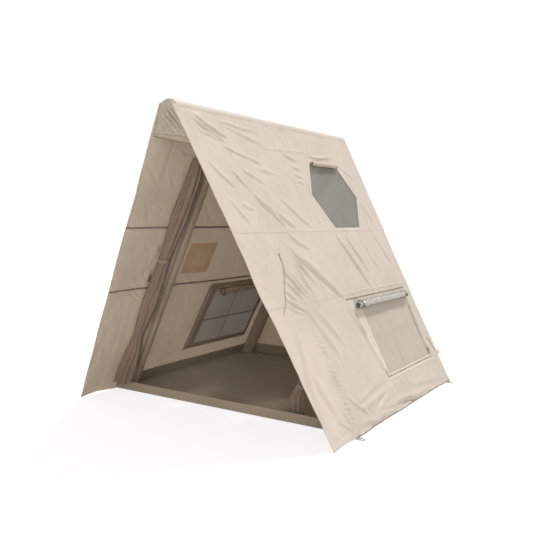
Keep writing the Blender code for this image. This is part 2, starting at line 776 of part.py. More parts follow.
def leg_stop(matrix, side, half_width):
    """How far along a beam its axis comes within half_width of the tent's middle."""
    return (side * matrix.translation.x - half_width) / (-side * matrix.col[2].x)


def leg(name, side, leg_y, ridge_cutter, looks):
    """A hollow beam and its sleeve. At the top the beam is cut to the ridge beam and to its twin."""
    matrix = leg_matrix(side, leg_y)
    stand = frame(name + "_frame", matrix)
    past_ridge = leg_stop(matrix, side, 0)
    tube = loft(
        name + "_air_beam", looks["bladder"],
        [foot_ring(BEAM_RADIUS, matrix), square_ring(BEAM_RADIUS, past_ridge)], stand,
    )
    bore = BEAM_RADIUS - BLADDER_WALL
    bore_top = leg_stop(matrix, side, bore * WALL_COS + BLADDER_WALL)
    cavity = loft(
        "cut_cavity_" + name, None,
        [foot_ring(bore, matrix, LEG_FOOT_Z + BLADDER_WALL), square_ring(bore, bore_top)], stand,
    )
    port = cylinder(
        "cut_port_" + name, None, AIR_PORT_DIAMETER / 2, bore_top - AIR_PORT_DIAMETER, past_ridge,
        PORT_SIDES, stand,
    )
    middle = sorted((side * SEAT_GAP / 2, -side * HALF_BASE))
    twin = box(
        "cut_twin_" + name, None, (middle[0], -LENGTH, 0), (middle[1], LENGTH, HEIGHT + CUT_OVERRUN)
    )
    cut(tube, ridge_cutter, twin, cavity, port)

    top = leg_stop(matrix, side, SLEEVE_RADIUS * WALL_COS + SEAT_GAP)
    inner = SLEEVE_RADIUS - SLEEVE_CLOTH
    sleeve = loft(
        name + "_sleeve", looks["sleeve"],
        [
            foot_ring(SLEEVE_RADIUS, matrix), square_ring(SLEEVE_RADIUS, top),
            square_ring(inner, top), foot_ring(inner, matrix),
        ],
        stand, joined=True,
    )
    return stand, matrix, tube, sleeve, port, top


def domed_rings(radius, start, end):
    """Rings of a round bar along Y at the ridge, with a rounded nose at each end."""
    nose = []
    for k in range(1, DOME_STEPS + 1):
        turn = math.pi / 2 * k / DOME_STEPS
        nose.append((radius * math.sin(turn), DOME_DEPTH * (1 - math.cos(turn))))
    stations = [(size, start + depth) for size, depth in nose]
    stations += [(size, end - depth) for size, depth in reversed(nose)]
    return [[(x, y, RIDGE_Z + z) for x, z in circle(size, BEAM_SIDES)] for size, y in stations]


def ridge_span():
    """Where the ridge beam ends, inside the front pocket and inside the back wall."""
    start = front_edge(RIDGE_Z - BEAM_RADIUS) + POCKET_INSET + ROOF_CLOTH + SEAT_GAP
    return start, back_wall_inner(RIDGE_Z + BEAM_RADIUS) - SEAT_GAP


def ridge_beam(looks):
    start, end = ridge_span()
    tube = loft("ridge_air_beam", looks["bladder"], domed_rings(BEAM_RADIUS, start, end))
    cut(tube, loft(
        "cut_ridge_cavity", None,
        domed_rings(BEAM_RADIUS - BLADDER_WALL, start + BLADDER_WALL, end - BLADDER_WALL),
    ))
    clear = circle(BEAM_RADIUS + SEAT_GAP, BEAM_SIDES)
    cutter = loft("cut_ridge_clearance", None, [[(x, y, RIDGE_Z + z) for x, z in clear] for y in (start, end)])
    return tube, cutter


# Roof over the ridge, the two gable ends and the floor.

def ridge_arc(radius, trim=0.0):
    """Points over the ridge beam from the right wall's top to the left wall's, as (x, z)."""
    start, end = WALL_ANGLE + trim, math.pi - WALL_ANGLE - trim
    turns = [start + (end - start) * i / RIDGE_STEPS for i in range(RIDGE_STEPS + 1)]
    return [(radius * math.cos(turn), RIDGE_Z + radius * math.sin(turn)) for turn in turns]


def ridge_cover(looks):
    trim = SEAT_GAP / 2 / RIDGE_RADIUS
    outline = ridge_arc(RIDGE_RADIUS, trim) + ridge_arc(RIDGE_RADIUS - ROOF_CLOTH, trim)[::-1]
    prism(
        "ridge_cover", looks["canvas"], outline,
        lambda x, z: (x, front_edge(z), z), lambda x, z: (x, back_edge(z), z),
    )


def front_pocket(looks):
    """The cap over the nose of the ridge beam, turned in along its arched lower edge."""
    depth = ROOF_CLOTH + SEAT_GAP
    half = wall_x(POCKET_HEIGHT, depth)

    def lower_edge(lift, reach):
        steps = [2 * i / POCKET_STEPS - 1 for i in range(POCKET_STEPS + 1)]
        return [
            (step * (half + reach), POCKET_HEIGHT + lift + POCKET_ARCH * (1 - step * step)) for step in steps
        ]

    cap = prism(
        "front_gable_cap", looks["canvas"], lower_edge(0, 0) + ridge_arc(RIDGE_RADIUS - depth),
        lambda x, z: (x, front_edge(z) + POCKET_INSET, z),
        lambda x, z: (x, front_edge(z) + POCKET_INSET + POCKET_DEPTH, z),
    )
    cut(cap, prism(
        "cut_front_gable_cap", None,
        lower_edge(ROOF_CLOTH, CUT_OVERRUN) + ridge_arc(RIDGE_RADIUS + CUT_OVERRUN),
        lambda x, z: (x, front_edge(z) + POCKET_INSET + ROOF_CLOTH, z),
        lambda x, z: (x, front_edge(z) + POCKET_INSET + POCKET_DEPTH + CUT_OVERRUN, z),
    ))


def back_window_outline():
    half = (BACK_WINDOW_APEX - BACK_WINDOW_SILL) * WALL_TAN
    return [(-half, BACK_WINDOW_SILL), (half, BACK_WINDOW_SILL), (0, BACK_WINDOW_APEX)]


def back_sheet(name, material, outline, near, far):
    """A sheet parallel to the back wall, between two distances in front of its inner face."""
    return prism(
        name, material, outline,
        lambda x, z: (x, back_wall_inner(z) - near, z), lambda x, z: (x, back_wall_inner(z) - far, z),
    )


def back_wall(looks):
    depth = ROOF_CLOTH + SEAT_GAP
    foot = wall_x(0, depth)
    wall = back_sheet(
        "back_wall", looks["canvas"], [(-foot, 0), (foot, 0)] + ridge_arc(RIDGE_RADIUS - depth),
        -ROOF_CLOTH, 0,
    )
    window = back_window_outline()
    cut(wall, back_sheet("cut_back_window", None, window, -ROOF_CLOTH - CUT_OVERRUN, CUT_OVERRUN))
    lapped = grow(window, NET_LAP)
    seam = rectangle(0, SEAM_WIDTH, lapped[2][1] + SEAM_WIDTH, RIDGE_Z - BEAM_RADIUS - SEAM_WIDTH)
    join(wall, back_sheet("seam_back_wall", None, seam, -ROOF_CLOTH / 2, SEAM_PROUD))
    back_sheet(
        "back_window_panel", looks["canvas"], lapped, SEAT_GAP, SEAT_GAP + PANEL_CLOTH
    )


def back_zip(looks):
    """A zip up both sides of the A-shaped window to its top, with a slider on each side."""
    left, right, apex = [Vector(point) for point in back_window_outline()]
    face = 2 * SEAT_GAP + PANEL_CLOTH
    zip_tape(
        "back_window_zip", looks["tape"], [left, apex, right],
        lambda x, z, up: (x, back_wall_inner(z) - face - up, z),
    )
    normal = Vector((0, -1, -BACK_SLOPE)).normalized()
    for side, foot in ((-1, left), (1, right)):
        run = Vector((apex.x - foot.x, -BACK_SLOPE * (apex.y - foot.y), apex.y - foot.y)).normalized()
        spot = Vector((foot.x, back_wall_inner(foot.y) - face, foot.y)) + run * BACK_SLIDER_START
        place = axes(spot, run, normal.cross(run), normal)
        slider_blank(side_name(side) + "_back_window_slider", looks["metal"], True, None, place)


def floor_section(depth, low, high):
    """The tent's cross-section between two heights, `depth` inside the roof's face."""
    return [
        (-wall_x(low, depth), low), (wall_x(low, depth), low),
        (wall_x(high, depth), high), (-wall_x(high, depth), high),
    ]


def floor(looks):
    """The floor, turned up at both sides and the back, and the sill across the doorway."""
    depth = ROOF_CLOTH + SEAT_GAP
    tray = prism(
        "groundsheet", looks["floor"], floor_section(depth, 0, LIP_HEIGHT),
        lambda x, z: (x, FLOOR_FRONT, z), lambda x, z: (x, back_wall_inner(z) - SEAT_GAP, z),
    )
    depth += LIP_CLOTH
    cut(tray, prism(
        "cut_groundsheet", None, floor_section(depth, FLOOR_CLOTH, LIP_HEIGHT + CUT_OVERRUN),
        lambda x, z: (x, FLOOR_FRONT - CUT_OVERRUN, z),
        lambda x, z: (x, back_wall_inner(z) - SEAT_GAP - LIP_CLOTH, z),
    ))
    prism(
        "front_threshold", looks["curtain"],
        floor_section(depth + SEAT_GAP, FLOOR_CLOTH + SEAT_GAP, THRESHOLD_HEIGHT),
        lambda x, z: (x, FLOOR_FRONT, z), lambda x, z: (x, FLOOR_FRONT + THRESHOLD_CLOTH, z),
    )


# Inflation valve, peg loops and guy points.

def valve(stand, tube, sleeve, looks):
    """A valve through the beam's wall and a window in its sleeve, with a cap hinged above it."""
    angle = math.radians(VALVE_ANGLE)
    out = Vector((math.cos(angle), math.sin(angle), 0))
    along = Vector((0, 0, 1))
    place = axes(along * VALVE_HEIGHT, along, out.cross(along), out)
    inside = BEAM_RADIUS - VALVE_STEM_DEPTH
    rim = SLEEVE_RADIUS + VALVE_STEM_PROUD
    flange_top = SLEEVE_RADIUS + VALVE_FLANGE_PROUD
    body = cylinder(
        "inflation_valve", looks["valve"], VALVE_FLANGE_RADIUS, BEAM_RADIUS - VALVE_FLANGE_DEPTH,
        flange_top, VALVE_SIDES, stand, place,
    )
    join(body, cylinder("stem_valve", None, VALVE_STEM_RADIUS, inside, rim, VALVE_SIDES, stand, place))
    hinge_x = VALVE_CAP_RADIUS + VALVE_HINGE_OUT
    hinge_z = rim + SEAT_GAP + VALVE_CAP_THICKNESS / 2
    add_ears(body, hinge_x, hinge_z, flange_top - PULL_THICKNESS, PULL_WIDTH, stand, place)
    cut(body, cylinder(
        "cut_valve_bore", None, VALVE_BORE_RADIUS, inside - CUT_OVERRUN, rim + CUT_OVERRUN,
        VALVE_SIDES, stand, place,
    ))
    for piece, margin in ((tube, SEAT_GAP), (sleeve, VALVE_WINDOW_MARGIN)):
        cut(piece, cylinder(
            "cut_valve_" + piece.name, None, VALVE_FLANGE_RADIUS + margin, inside - VALVE_STEM_DEPTH,
            rim, VALVE_SIDES, stand, place,
        ))

    here = place @ Matrix.Translation((hinge_x, 0, hinge_z))
    half = VALVE_CAP_THICKNESS / 2
    disc = circle(VALVE_CAP_RADIUS, VALVE_SIDES)
    cap = loft(
        "inflation_valve_cap", looks["valve"],
        [[(x - hinge_x, y, z) for x, y in disc] for z in (-half, half)], stand, here,
    )
    join(cap, box(
        "arm_valve_cap", None,
        (-hinge_x, -PULL_WIDTH / 2, -PULL_THICKNESS / 2),
        (-PIN_RADIUS - SLIDER_CLEARANCE, PULL_WIDTH / 2, PULL_THICKNESS / 2), stand, here,
    ))
    add_eye(cap, PULL_WIDTH, stand, here)


def peg_loop(name, side, y, looks):
    """A flat webbing loop that lies on the ground outside the roof's foot, round at its outer end."""
    def line(inset):
        half = PEG_LOOP_WIDTH / 2 - inset
        centre = PEG_LOOP_LENGTH - PEG_LOOP_WIDTH / 2
        turns = [math.pi * (i / LOOP_STEPS - 0.5) for i in range(LOOP_STEPS + 1)]
        arc = [(centre + half * math.cos(turn), half * math.sin(turn)) for turn in turns]
        return [(inset, -half)] + arc + [(inset, half)]

    rings = [
        [(a, b, z) for a, b in line(inset)]
        for inset, z in ((0, 0), (0, PEG_WEBBING_THICKNESS), (PEG_WEBBING, PEG_WEBBING_THICKNESS),
                         (PEG_WEBBING, 0))
    ]
    place = axes((side * (HALF_BASE + SEAT_GAP), y, 0), (side, 0, 0), (0, side, 0), (0, 0, 1))
    loft(name, looks["webbing"], rings, None, place, joined=True)


def smooth_route(route, count):
    """Evenly spaced points on a smooth curve through the route's points."""
    points = [Vector(point) for point in route]
    padded = [2 * points[0] - points[1]] + points + [2 * points[-1] - points[-2]]
    dense = []
    for p0, p1, p2, p3 in zip(padded, padded[1:], padded[2:], padded[3:]):
        for step in range(count):
            t = step / count
            dense.append(
                p1 + (p2 - p0) * (t / 2) + (2 * p0 - 5 * p1 + 4 * p2 - p3) * (t * t / 2)
                + (3 * p1 - p0 - 3 * p2 + p3) * (t ** 3 / 2)
            )
    dense.append(points[-1])
    runs = [0.0]
    for before, after in zip(dense, dense[1:]):
        runs.append(runs[-1] + (after - before).length)
    made, at = [], 0
    for i in range(count):
        want = runs[-1] * i / (count - 1)
        while at < len(runs) - 2 and runs[at + 1] < want:
            at += 1
        part = (want - runs[at]) / (runs[at + 1] - runs[at])
        made.append(dense[at].lerp(dense[at + 1], part))
    return made


def guy_point(side, wall, looks):
    """A webbing patch on the front wing, and the short cord that hangs from it down the cloth."""
    name = side_name(side)
    middle = FRONT_FOOT + GUY_FROM_FRONT
    wall_slab(
        name + "_guy_patch", looks["webbing"], wall, side,
        rectangle(middle, GUY_PATCH_WIDTH, GUY_HEIGHT, GUY_HEIGHT + GUY_PATCH_LENGTH),
        SEAT_GAP, SEAT_GAP + GUY_PATCH_CLOTH,
    )
    radius = GUY_CORD_DIAMETER / 2
    out = SEAM_PROUD + SEAT_GAP + radius
    curve = bpy.data.curves.new(name + "_guy_cord", "CURVE")
    curve.dimensions = "3D"
    curve.bevel_depth = radius
    curve.bevel_resolution = GUY_CORD_STEPS
    curve.use_fill_caps = True
    curve.materials.append(looks["cord"])
    spline = curve.splines.new("POLY")
    spline.points.add(GUY_CORD_POINTS - 1)
    for point, (forward, down) in zip(spline.points, smooth_route(GUY_ROUTE, GUY_CORD_POINTS)):
        point.co = (side * (middle - forward), GUY_HEIGHT - SEAT_GAP - down, out, 1)
    cord = bpy.data.objects.new(name + "_guy_cord", curve)
    bpy.context.scene.collection.objects.link(cord)
    cord.parent = wall


def main():
    for obj in list(bpy.data.objects):
        bpy.data.objects.remove(obj, do_unlink=True)
    looks = make_finishes()

    ridge_tube, ridge_cutter = ridge_beam(looks)
    for end, leg_y in (("front", front_leg_y), ("back", back_leg_y)):
        for side in (-1, 1):
            name = f"{end}_{side_name(side)}"
            stand, matrix, tube, sleeve, port, top = leg(name, side, leg_y, ridge_cutter, looks)
            cut(ridge_tube, port)
            if end == "front":
                door_zip(side, stand, matrix, top, looks)
                curtain(side, stand, matrix, looks)
            elif side > 0:
                valve(stand, tube, sleeve, looks)

    ridge_cover(looks)
    front_pocket(looks)
    back_wall(looks)
    back_zip(looks)
    floor(looks)
    for side in (-1, 1):
        wall = frame(side_name(side) + "_wall_frame", wall_matrix(side))
        roof_panel(side, wall, looks)
        skylight(side, wall, looks)
        side_window(side, wall, looks)
        window_zip(side, wall, looks)
        guy_point(side, wall, looks)
        if side < 0:
            stove_jack(wall, looks)
        for end, y in (("front", FRONT_FOOT + PEG_FROM_FRONT), ("back", BACK_FOOT - PEG_FROM_BACK)):
            peg_loop(f"{end}_{side_name(side)}_peg_loop", side, y, looks)


main()
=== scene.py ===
# Inflatable ridge tent: its cloth, nets, covers and cords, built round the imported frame.
import math

import bpy
import numpy as np
from mathutils import Matrix, Vector


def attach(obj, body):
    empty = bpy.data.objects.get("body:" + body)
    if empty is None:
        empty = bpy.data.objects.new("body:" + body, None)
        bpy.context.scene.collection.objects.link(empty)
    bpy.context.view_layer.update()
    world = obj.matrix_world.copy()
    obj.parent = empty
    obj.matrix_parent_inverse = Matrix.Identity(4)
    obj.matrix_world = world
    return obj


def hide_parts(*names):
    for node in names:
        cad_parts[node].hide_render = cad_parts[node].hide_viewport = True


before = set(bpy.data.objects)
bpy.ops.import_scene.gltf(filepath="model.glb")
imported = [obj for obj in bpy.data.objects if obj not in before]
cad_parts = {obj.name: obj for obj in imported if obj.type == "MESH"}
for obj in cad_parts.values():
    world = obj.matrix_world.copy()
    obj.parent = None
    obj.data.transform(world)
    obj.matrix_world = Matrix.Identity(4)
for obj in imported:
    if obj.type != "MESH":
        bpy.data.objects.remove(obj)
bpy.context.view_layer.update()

scene = bpy.context.scene
print("tent: frame loaded")

# Lines of the roof, in metres, shared by every piece.
tent = {
    "halfBase": 1.21,
    "wallSin": 0.438816,
    "wallCos": 0.898577,
    "wallTop": 2.6328,
    "height": 2.40,
    "ridgeHeight": 2.3392,
    "ridgeRadius": 0.0608,
    "frontFoot": -1.10,
    "noseOverhang": 0.36,
    "backFoot": 1.46,
    "backLean": 0.13,
    "backInset": 0.012,
    "frontLeg": -0.565,
    "frontLegLean": 0.075,
    "backLeg": 1.3815,
    "backLegLean": 0.05417,
    "upperSeam": 1.6404,
    "lowerSeam": 1.0606,
}


def frontEdge(z):
    return tent["frontFoot"] - tent["noseOverhang"] * z / tent["height"]


def backEdge(z):
    return tent["backFoot"] - tent["backLean"] * z / tent["height"]


def sideWord(side):
    return "right" if side > 0 else "left"


# Arrays spread to one shape and stacked along a new last axis.
def stacked(*parts):
    return np.stack(np.broadcast_arrays(*parts), -1)


# A point on a roof wall: x = side (half base - up sin + out cos), z = up cos + out sin.
def wallPoint(side, y, up, out):
    y, up, out = np.broadcast_arrays(y, up, out)
    x = side * (tent["halfBase"] - up * tent["wallSin"] + out * tent["wallCos"])
    return np.stack((x, y, up * tent["wallCos"] + out * tent["wallSin"]), -1)


# Node tree of a material or of the world, emptied first.
class ShaderTree:
    def __init__(self, owner, output="OutputMaterial"):
        owner.use_nodes = True
        self.tree = owner.node_tree
        self.tree.nodes.clear()
        self.output = self.add(output)

    # A socket takes a value, or a link from another node's socket.
    def feed(self, socket, value):
        if isinstance(value, bpy.types.NodeSocket):
            self.tree.links.new(value, socket)
        else:
            socket.default_value = value

    def add(self, kind, sockets=None, **settings):
        node = self.tree.nodes.new("ShaderNode" + kind)
        for key, value in settings.items():
            setattr(node, key, value)
        for key, value in (sockets or {}).items():
            self.feed(node.inputs[key], value)
        return node

    def show(self, shader):
        self.feed(self.output.inputs["Surface"], shader.outputs[0])

    def maths(self, operation, *values):
        return self.add("Math", dict(enumerate(values)), operation=operation).outputs[0]

    def mixShaders(self, amount, first, second):
        return self.add("MixShader", {0: amount, 1: first.outputs[0], 2: second.outputs[0]})

    # 1 for a ray from the camera, off a gloss or through something clear, 0 for rays that only light.
    def lookingRay(self):
        path = self.add("LightPath")
        seen = self.maths("MAXIMUM", path.outputs["Is Camera Ray"], path.outputs["Is Glossy Ray"])
        return self.maths("MAXIMUM", seen, path.outputs["Is Transmission Ray"])


# Camera, floor and light.
look = {
    "place": (3.2347, -5.2947, 1.6231),
    "azimuth": -31.737,
    "elevation": -4.487,
    "roll": 1.203,
    "lens": 47.30,
    "floorColour": (0.93, 0.925, 0.915),
    "floorReach": 60,
    "floorLevel": -0.0012,
    "floorGlow": 0.70,
    "glowStrength": 1.15,
    "skyColour": (1.0, 0.985, 0.965),
    "worldLight": 0.52,
    # Suns: direction towards the light, strength and spread in degrees.
    "keyLight": ((0.05, 0.52, 0.85), 3.2, 7),
    "fillLight": ((0.55, -0.80, 0.18), 1.12, 40),
    "sideLight": ((-0.86, 0.05, 0.50), 0.8, 30),
}


def setCamera():
    azimuth, elevation, roll = (math.radians(look[key]) for key in ("azimuth", "elevation", "roll"))
    ahead = Vector((
        math.cos(elevation) * math.sin(azimuth), math.cos(elevation) * math.cos(azimuth), math.sin(elevation)
    ))
    level = Vector((math.cos(azimuth), -math.sin(azimuth), 0))
    upright = level.cross(ahead)
    right = math.cos(roll) * level + math.sin(roll) * upright
    top = -math.sin(roll) * level + math.cos(roll) * upright
    turn = Matrix((right, top, -ahead)).transposed().to_4x4()
    camera = bpy.data.objects.new("camera", bpy.data.cameras.new("camera"))
    camera.data.lens = look["lens"]
    camera.data.sensor_width = 36
    camera.data.clip_end = 200
    camera.matrix_world = Matrix.Translation(look["place"]) @ turn
    scene.collection.objects.link(camera)
    scene.camera = camera


def addSun(name):
    towards, strength, spread = look[name]
    lamp = bpy.data.lights.new(name, "SUN")
    lamp.energy = strength
    lamp.angle = math.radians(spread)
    sun = bpy.data.objects.new(name, lamp)
    sun.rotation_euler = Vector(towards).to_track_quat("Z", "Y").to_euler()
    scene.collection.objects.link(sun)


# The floor glows for the rays that look, so that it is white and still keeps the tent's shadow.
def setFloor():
    mesh = bpy.data.meshes.new("floor")
    reach, level = look["floorReach"], look["floorLevel"]
    corners = ((-reach, -reach), (reach, -reach), (reach, reach), (-reach, reach))
    mesh.from_pydata([(x, y, level) for x, y in corners], [], [(0, 1, 2, 3)])
    floor = bpy.data.objects.new("floor", mesh)
    scene.collection.objects.link(floor)
    finish = bpy.data.materials.new("floorFinish")
    tree = ShaderTree(finish)
    matt = tree.add("BsdfDiffuse", {"Color": (*look["floorColour"], 1)})
    glow = tree.add("Emission", {"Strength": look["glowStrength"]})
    tree.show(tree.mixShaders(tree.maths("MULTIPLY", tree.lookingRay(), look["floorGlow"]), matt, glow))
    mesh.materials.append(finish)


# The sky is white for the rays that look, and softer and a little warm for the light.
def setSky():
    scene.world = bpy.data.worlds.new("sky")
    tree = ShaderTree(scene.world, "OutputWorld")
    soft = tree.add("Background", {"Color": (*look["skyColour"], 1), "Strength": look["worldLight"]})
    white = tree.add("Background", {"Color": (1, 1, 1, 1), "Strength": 1.0})
    tree.show(tree.mixShaders(tree.lookingRay(), soft, white))


setCamera()
setFloor()
setSky()
for name in ("keyLight", "fillLight", "sideLight"):
    addSun(name)
scene.view_settings.view_transform = "Standard"
print("tent: camera, floor and light")


# Corner (i, j) of a grid has the number i * columns + j; a closed side runs on to its first row or column.
def gridFaces(rows, columns, closeRows=False, closeColumns=False):
    i = np.arange(rows if closeRows else rows - 1)[:, None]
    j = np.arange(columns if closeColumns else columns - 1)[None]
    nextI, nextJ = (i + 1) % rows, (j + 1) % columns
    corners = (i * columns + j, i * columns + nextJ, nextI * columns + nextJ, nextI * columns + j)
    return stacked(*corners).reshape(-1, 4)


# The same faces' places in a chart that is one row or column longer where the grid closes.
def chartCorners(rows, columns, closeRows, closeColumns):
    return gridFaces(rows + closeRows, columns + closeColumns)


# The piece wears the finishes with the names given, the first one outside.
def makeMesh(name, points, faces, chart=None, wears=()):
    mesh = bpy.data.meshes.new(name)
    mesh.from_pydata(points.tolist(), [], [list(face) for face in faces])
    mesh.polygons.foreach_set("use_smooth", np.ones(len(mesh.polygons), bool))
    if chart is not None:
        layer = mesh.uv_layers.new(name="clothChart")
        layer.data.foreach_set("uv", np.asarray(chart, np.float32).ravel())
    for word in wears:
        mesh.materials.append(finishes[word])
    piece = bpy.data.objects.new(name, mesh)
    scene.collection.objects.link(piece)
    return piece


# Turns round a circle, as one row of a grid.
def turnsAround(count):
    return np.linspace(0, 2 * math.pi, count, endpoint=False)[None]


# A surface from a grid of points (rows, columns, 3); chart holds metres along the cloth.
def surface(name, points, chart=None, closeRows=False, closeColumns=False, flip=False, keep=None,
            wears=()):
    rows, columns = points.shape[:2]
    faces = gridFaces(rows, columns, closeRows, closeColumns)
    places = chartCorners(rows, columns, closeRows, closeColumns)
    if keep is not None:
        faces, places = faces[keep.ravel()], places[keep.ravel()]
    if flip:
        faces, places = faces[:, ::-1], places[:, ::-1]
    used, renumbered = np.unique(faces, return_inverse=True)
    flatChart = None if chart is None else chart.reshape(-1, 2)[places.ravel()]
    return makeMesh(name, points.reshape(-1, 3)[used], renumbered.reshape(faces.shape), flatChart, wears)


# A closed body from rings (rows, columns, 3) with a fan over each end, turned to face outwards.
def closedTube(name, rings, chart=None, wears=()):
    rows, columns = rings.shape[:2]
    faces = gridFaces(rows, columns, False, True)
    places = chartCorners(rows, columns, False, True)
    points = np.concatenate((rings.reshape(-1, 3), rings[0].mean(0)[None], rings[-1].mean(0)[None]))
    j = np.arange(columns)
    first = np.stack((np.full(columns, rows * columns), (j + 1) % columns, j), -1)
    last = np.stack((np.full(columns, rows * columns + 1), (rows - 1) * columns + j,
                     (rows - 1) * columns + (j + 1) % columns), -1)
    corners = points[faces]
    middle = points.mean(0)
    across = np.cross(corners[:, 2] - corners[:, 0], corners[:, 3] - corners[:, 1])
    if ((corners.mean(1) - middle) * across).sum() < 0:
        faces, places, first, last = faces[:, ::-1], places[:, ::-1], first[:, ::-1], last[:, ::-1]
    flatChart = None
    if chart is not None:
        around = chart.reshape(-1, 2)[places.ravel()]
        flatChart = np.concatenate((around, np.zeros((6 * columns, 2))))
    return makeMesh(name, points, faces.tolist() + first.tolist() + last.tolist(), flatChart, wears)


# Puts a piece on its body and hides the nodes that it stands for; a cloth gets its thickness.
def place(piece, hides=(), body="tent", thickness=0, offset=-1, innerFinish=0):
    if thickness:
        shell = piece.modifiers.new("clothThickness", "SOLIDIFY")
        shell.thickness = thickness
        shell.offset = offset
        shell.material_offset = innerFinish
    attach(piece, body)
    if hides:
        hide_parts(*hides)


# Random heights at whole numbers, joined by 3t^2 - 2t^3 both ways, from -1 to 1.
def softNoise(u, v, seed):
    table = np.random.default_rng(seed).uniform(-1, 1, (61, 61))
    iu, iv = np.floor(u).astype(int), np.floor(v).astype(int)
    fu, fv = u - iu, v - iv
    fu, fv = fu * fu * (3 - 2 * fu), fv * fv * (3 - 2 * fv)
    a, b = table[iu % 61, iv % 61], table[(iu + 1) % 61, iv % 61]
    c, d = table[iu % 61, (iv + 1) % 61], table[(iu + 1) % 61, (iv + 1) % 61]
    return (a + (b - a) * fu) * (1 - fv) + (c + (d - c) * fu) * fv


# Sharp crests where the soft noise crosses zero, from 0 to 1.
def crests(u, v, seed, sharpness=2.0):
    return (1 - np.abs(softNoise(u, v, seed))) ** sharpness


def smoothStep(value, low, high):
    t = np.clip((value - low) / (high - low), 0, 1)
    return t * t * (3 - 2 * t)


# Fullness 1 at zero distance, falling to 0 at the reach.
def near(distance, reach):
    return 1 - smoothStep(np.abs(distance), 0, reach)


# Distance run along a path up to each of its points.
def runAlong(points):
    return np.concatenate(([0], np.cumsum(np.linalg.norm(np.diff(points, axis=0), axis=1))))


# Smooth curve through points, evenly spaced: each stretch is a cubic from its four neighbours.
def smoothPath(points, count):
    points = np.asarray(points, float)
    padded = np.concatenate((2 * points[:1] - points[1:2], points, 2 * points[-1:] - points[-2:-1]))
    t = np.linspace(0, 1, 30, endpoint=False)[:, None]
    dense = np.concatenate([
        p1 + (p2 - p0) * (t / 2) + (2 * p0 - 5 * p1 + 4 * p2 - p3) * (t * t / 2)
        + (3 * p1 - p0 - 3 * p2 + p3) * (t ** 3 / 2)
        for p0, p1, p2, p3 in zip(padded[:-3], padded[1:-2], padded[2:-1], padded[3:])
    ] + [points[-1:]])
    run = runAlong(dense)
    want = np.linspace(0, run[-1], count)
    return np.stack([np.interp(want, run, dense[:, axis]) for axis in range(points.shape[1])], -1)


# Rings round a path, carried along without twist; radius may change from point to point.
def pathTube(name, path, radius, around, finish, flat=1.0):
    path = np.asarray(path, float)
    ahead = np.gradient(path, axis=0)
    ahead /= np.linalg.norm(ahead, axis=1)[:, None]
    side = np.cross(ahead[0], (0.31, 0.52, 0.79))
    sides = []
    for direction in ahead:
        side = side - direction * (side @ direction)
        side = side / np.linalg.norm(side)
        sides.append(side)
    sides = np.array(sides)
    others = np.cross(ahead, sides)
    turn = turnsAround(around)[..., None]
    radius = np.broadcast_to(np.asarray(radius, float), (len(path),))[:, None, None]
    rings = path[:, None] + radius * (np.cos(turn) * sides[:, None] + flat * np.sin(turn) * others[:, None])
    run = runAlong(path)
    around = np.linspace(0, 2 * math.pi * float(radius.mean()), rings.shape[1] + 1)
    chart = stacked(run[:, None], around[None])
    return closedTube(name, rings, chart, (finish,))


# A colour written as it looks on screen, 0 to 255, turned into the shader's linear values.
def screenColour(red, green, blue):
    values = np.array((red, green, blue)) / 255
    linear = np.where(values <= 0.04045, values / 12.92, ((values + 0.055) / 1.055) ** 2.4)
    return (*np.clip(linear, 0, 1).tolist(), 1)


def darker(colour, share):
    return tuple(share * c for c in colour[:3]) + (1,)


class FinishTree(ShaderTree):
    def __init__(self, name):
        self.material = bpy.data.materials.new(name)
        super().__init__(self.material)
        self.shader = self.add("BsdfPrincipled")
        self.show(self.shader)
        self.coords = self.add("TexCoord")

    def shade(self, values):
        for key, value in values.items():
            self.feed(self.shader.inputs[key], value)

    def mapped(self, source, scale=(1, 1, 1), turn=(0, 0, 0)):
        sockets = {"Scale": scale, "Rotation": turn, "Vector": self.coords.outputs[source]}
        return self.add("Mapping", sockets).outputs[0]

    def noise(self, vector, scale, detail=2.0, roughness=0.5, distortion=0.0):
        sockets = {"Scale": scale, "Detail": detail, "Roughness": roughness, "Distortion": distortion}
        sockets["Vector"] = vector
        return self.add("TexNoise", sockets, noise_type="FBM").outputs[0]

    # Parallel bands; one band and gap takes "pitch" metres.
    def bands(self, vector, pitch, direction="X"):
        sockets = {"Scale": math.pi / 10 / pitch, "Vector": vector}
        return self.add("TexWave", sockets, wave_type="BANDS", bands_direction=direction).outputs["Fac"]

    def ramp(self, value, stops):
        node = self.add("ValToRGB", {0: value})
        for element, (position, colour) in zip(node.color_ramp.elements, stops):
            element.position = position
            element.color = colour
        return node.outputs[0]

    def mixColours(self, amount, first, second):
        return self.add("Mix", {0: amount, 6: first, 7: second}, data_type="RGBA").outputs[2]

    # Each (height, depth in metres) is laid over the one before.
    def relief(self, *layers):
        normal = None
        for height, depth in layers:
            bump = self.add("Bump", {"Distance": depth, "Strength": 1.0, "Height": height})
            if normal is not None:
                self.feed(bump.inputs["Normal"], normal)
            normal = bump.outputs[0]
        self.shade({"Normal": normal})
        return normal


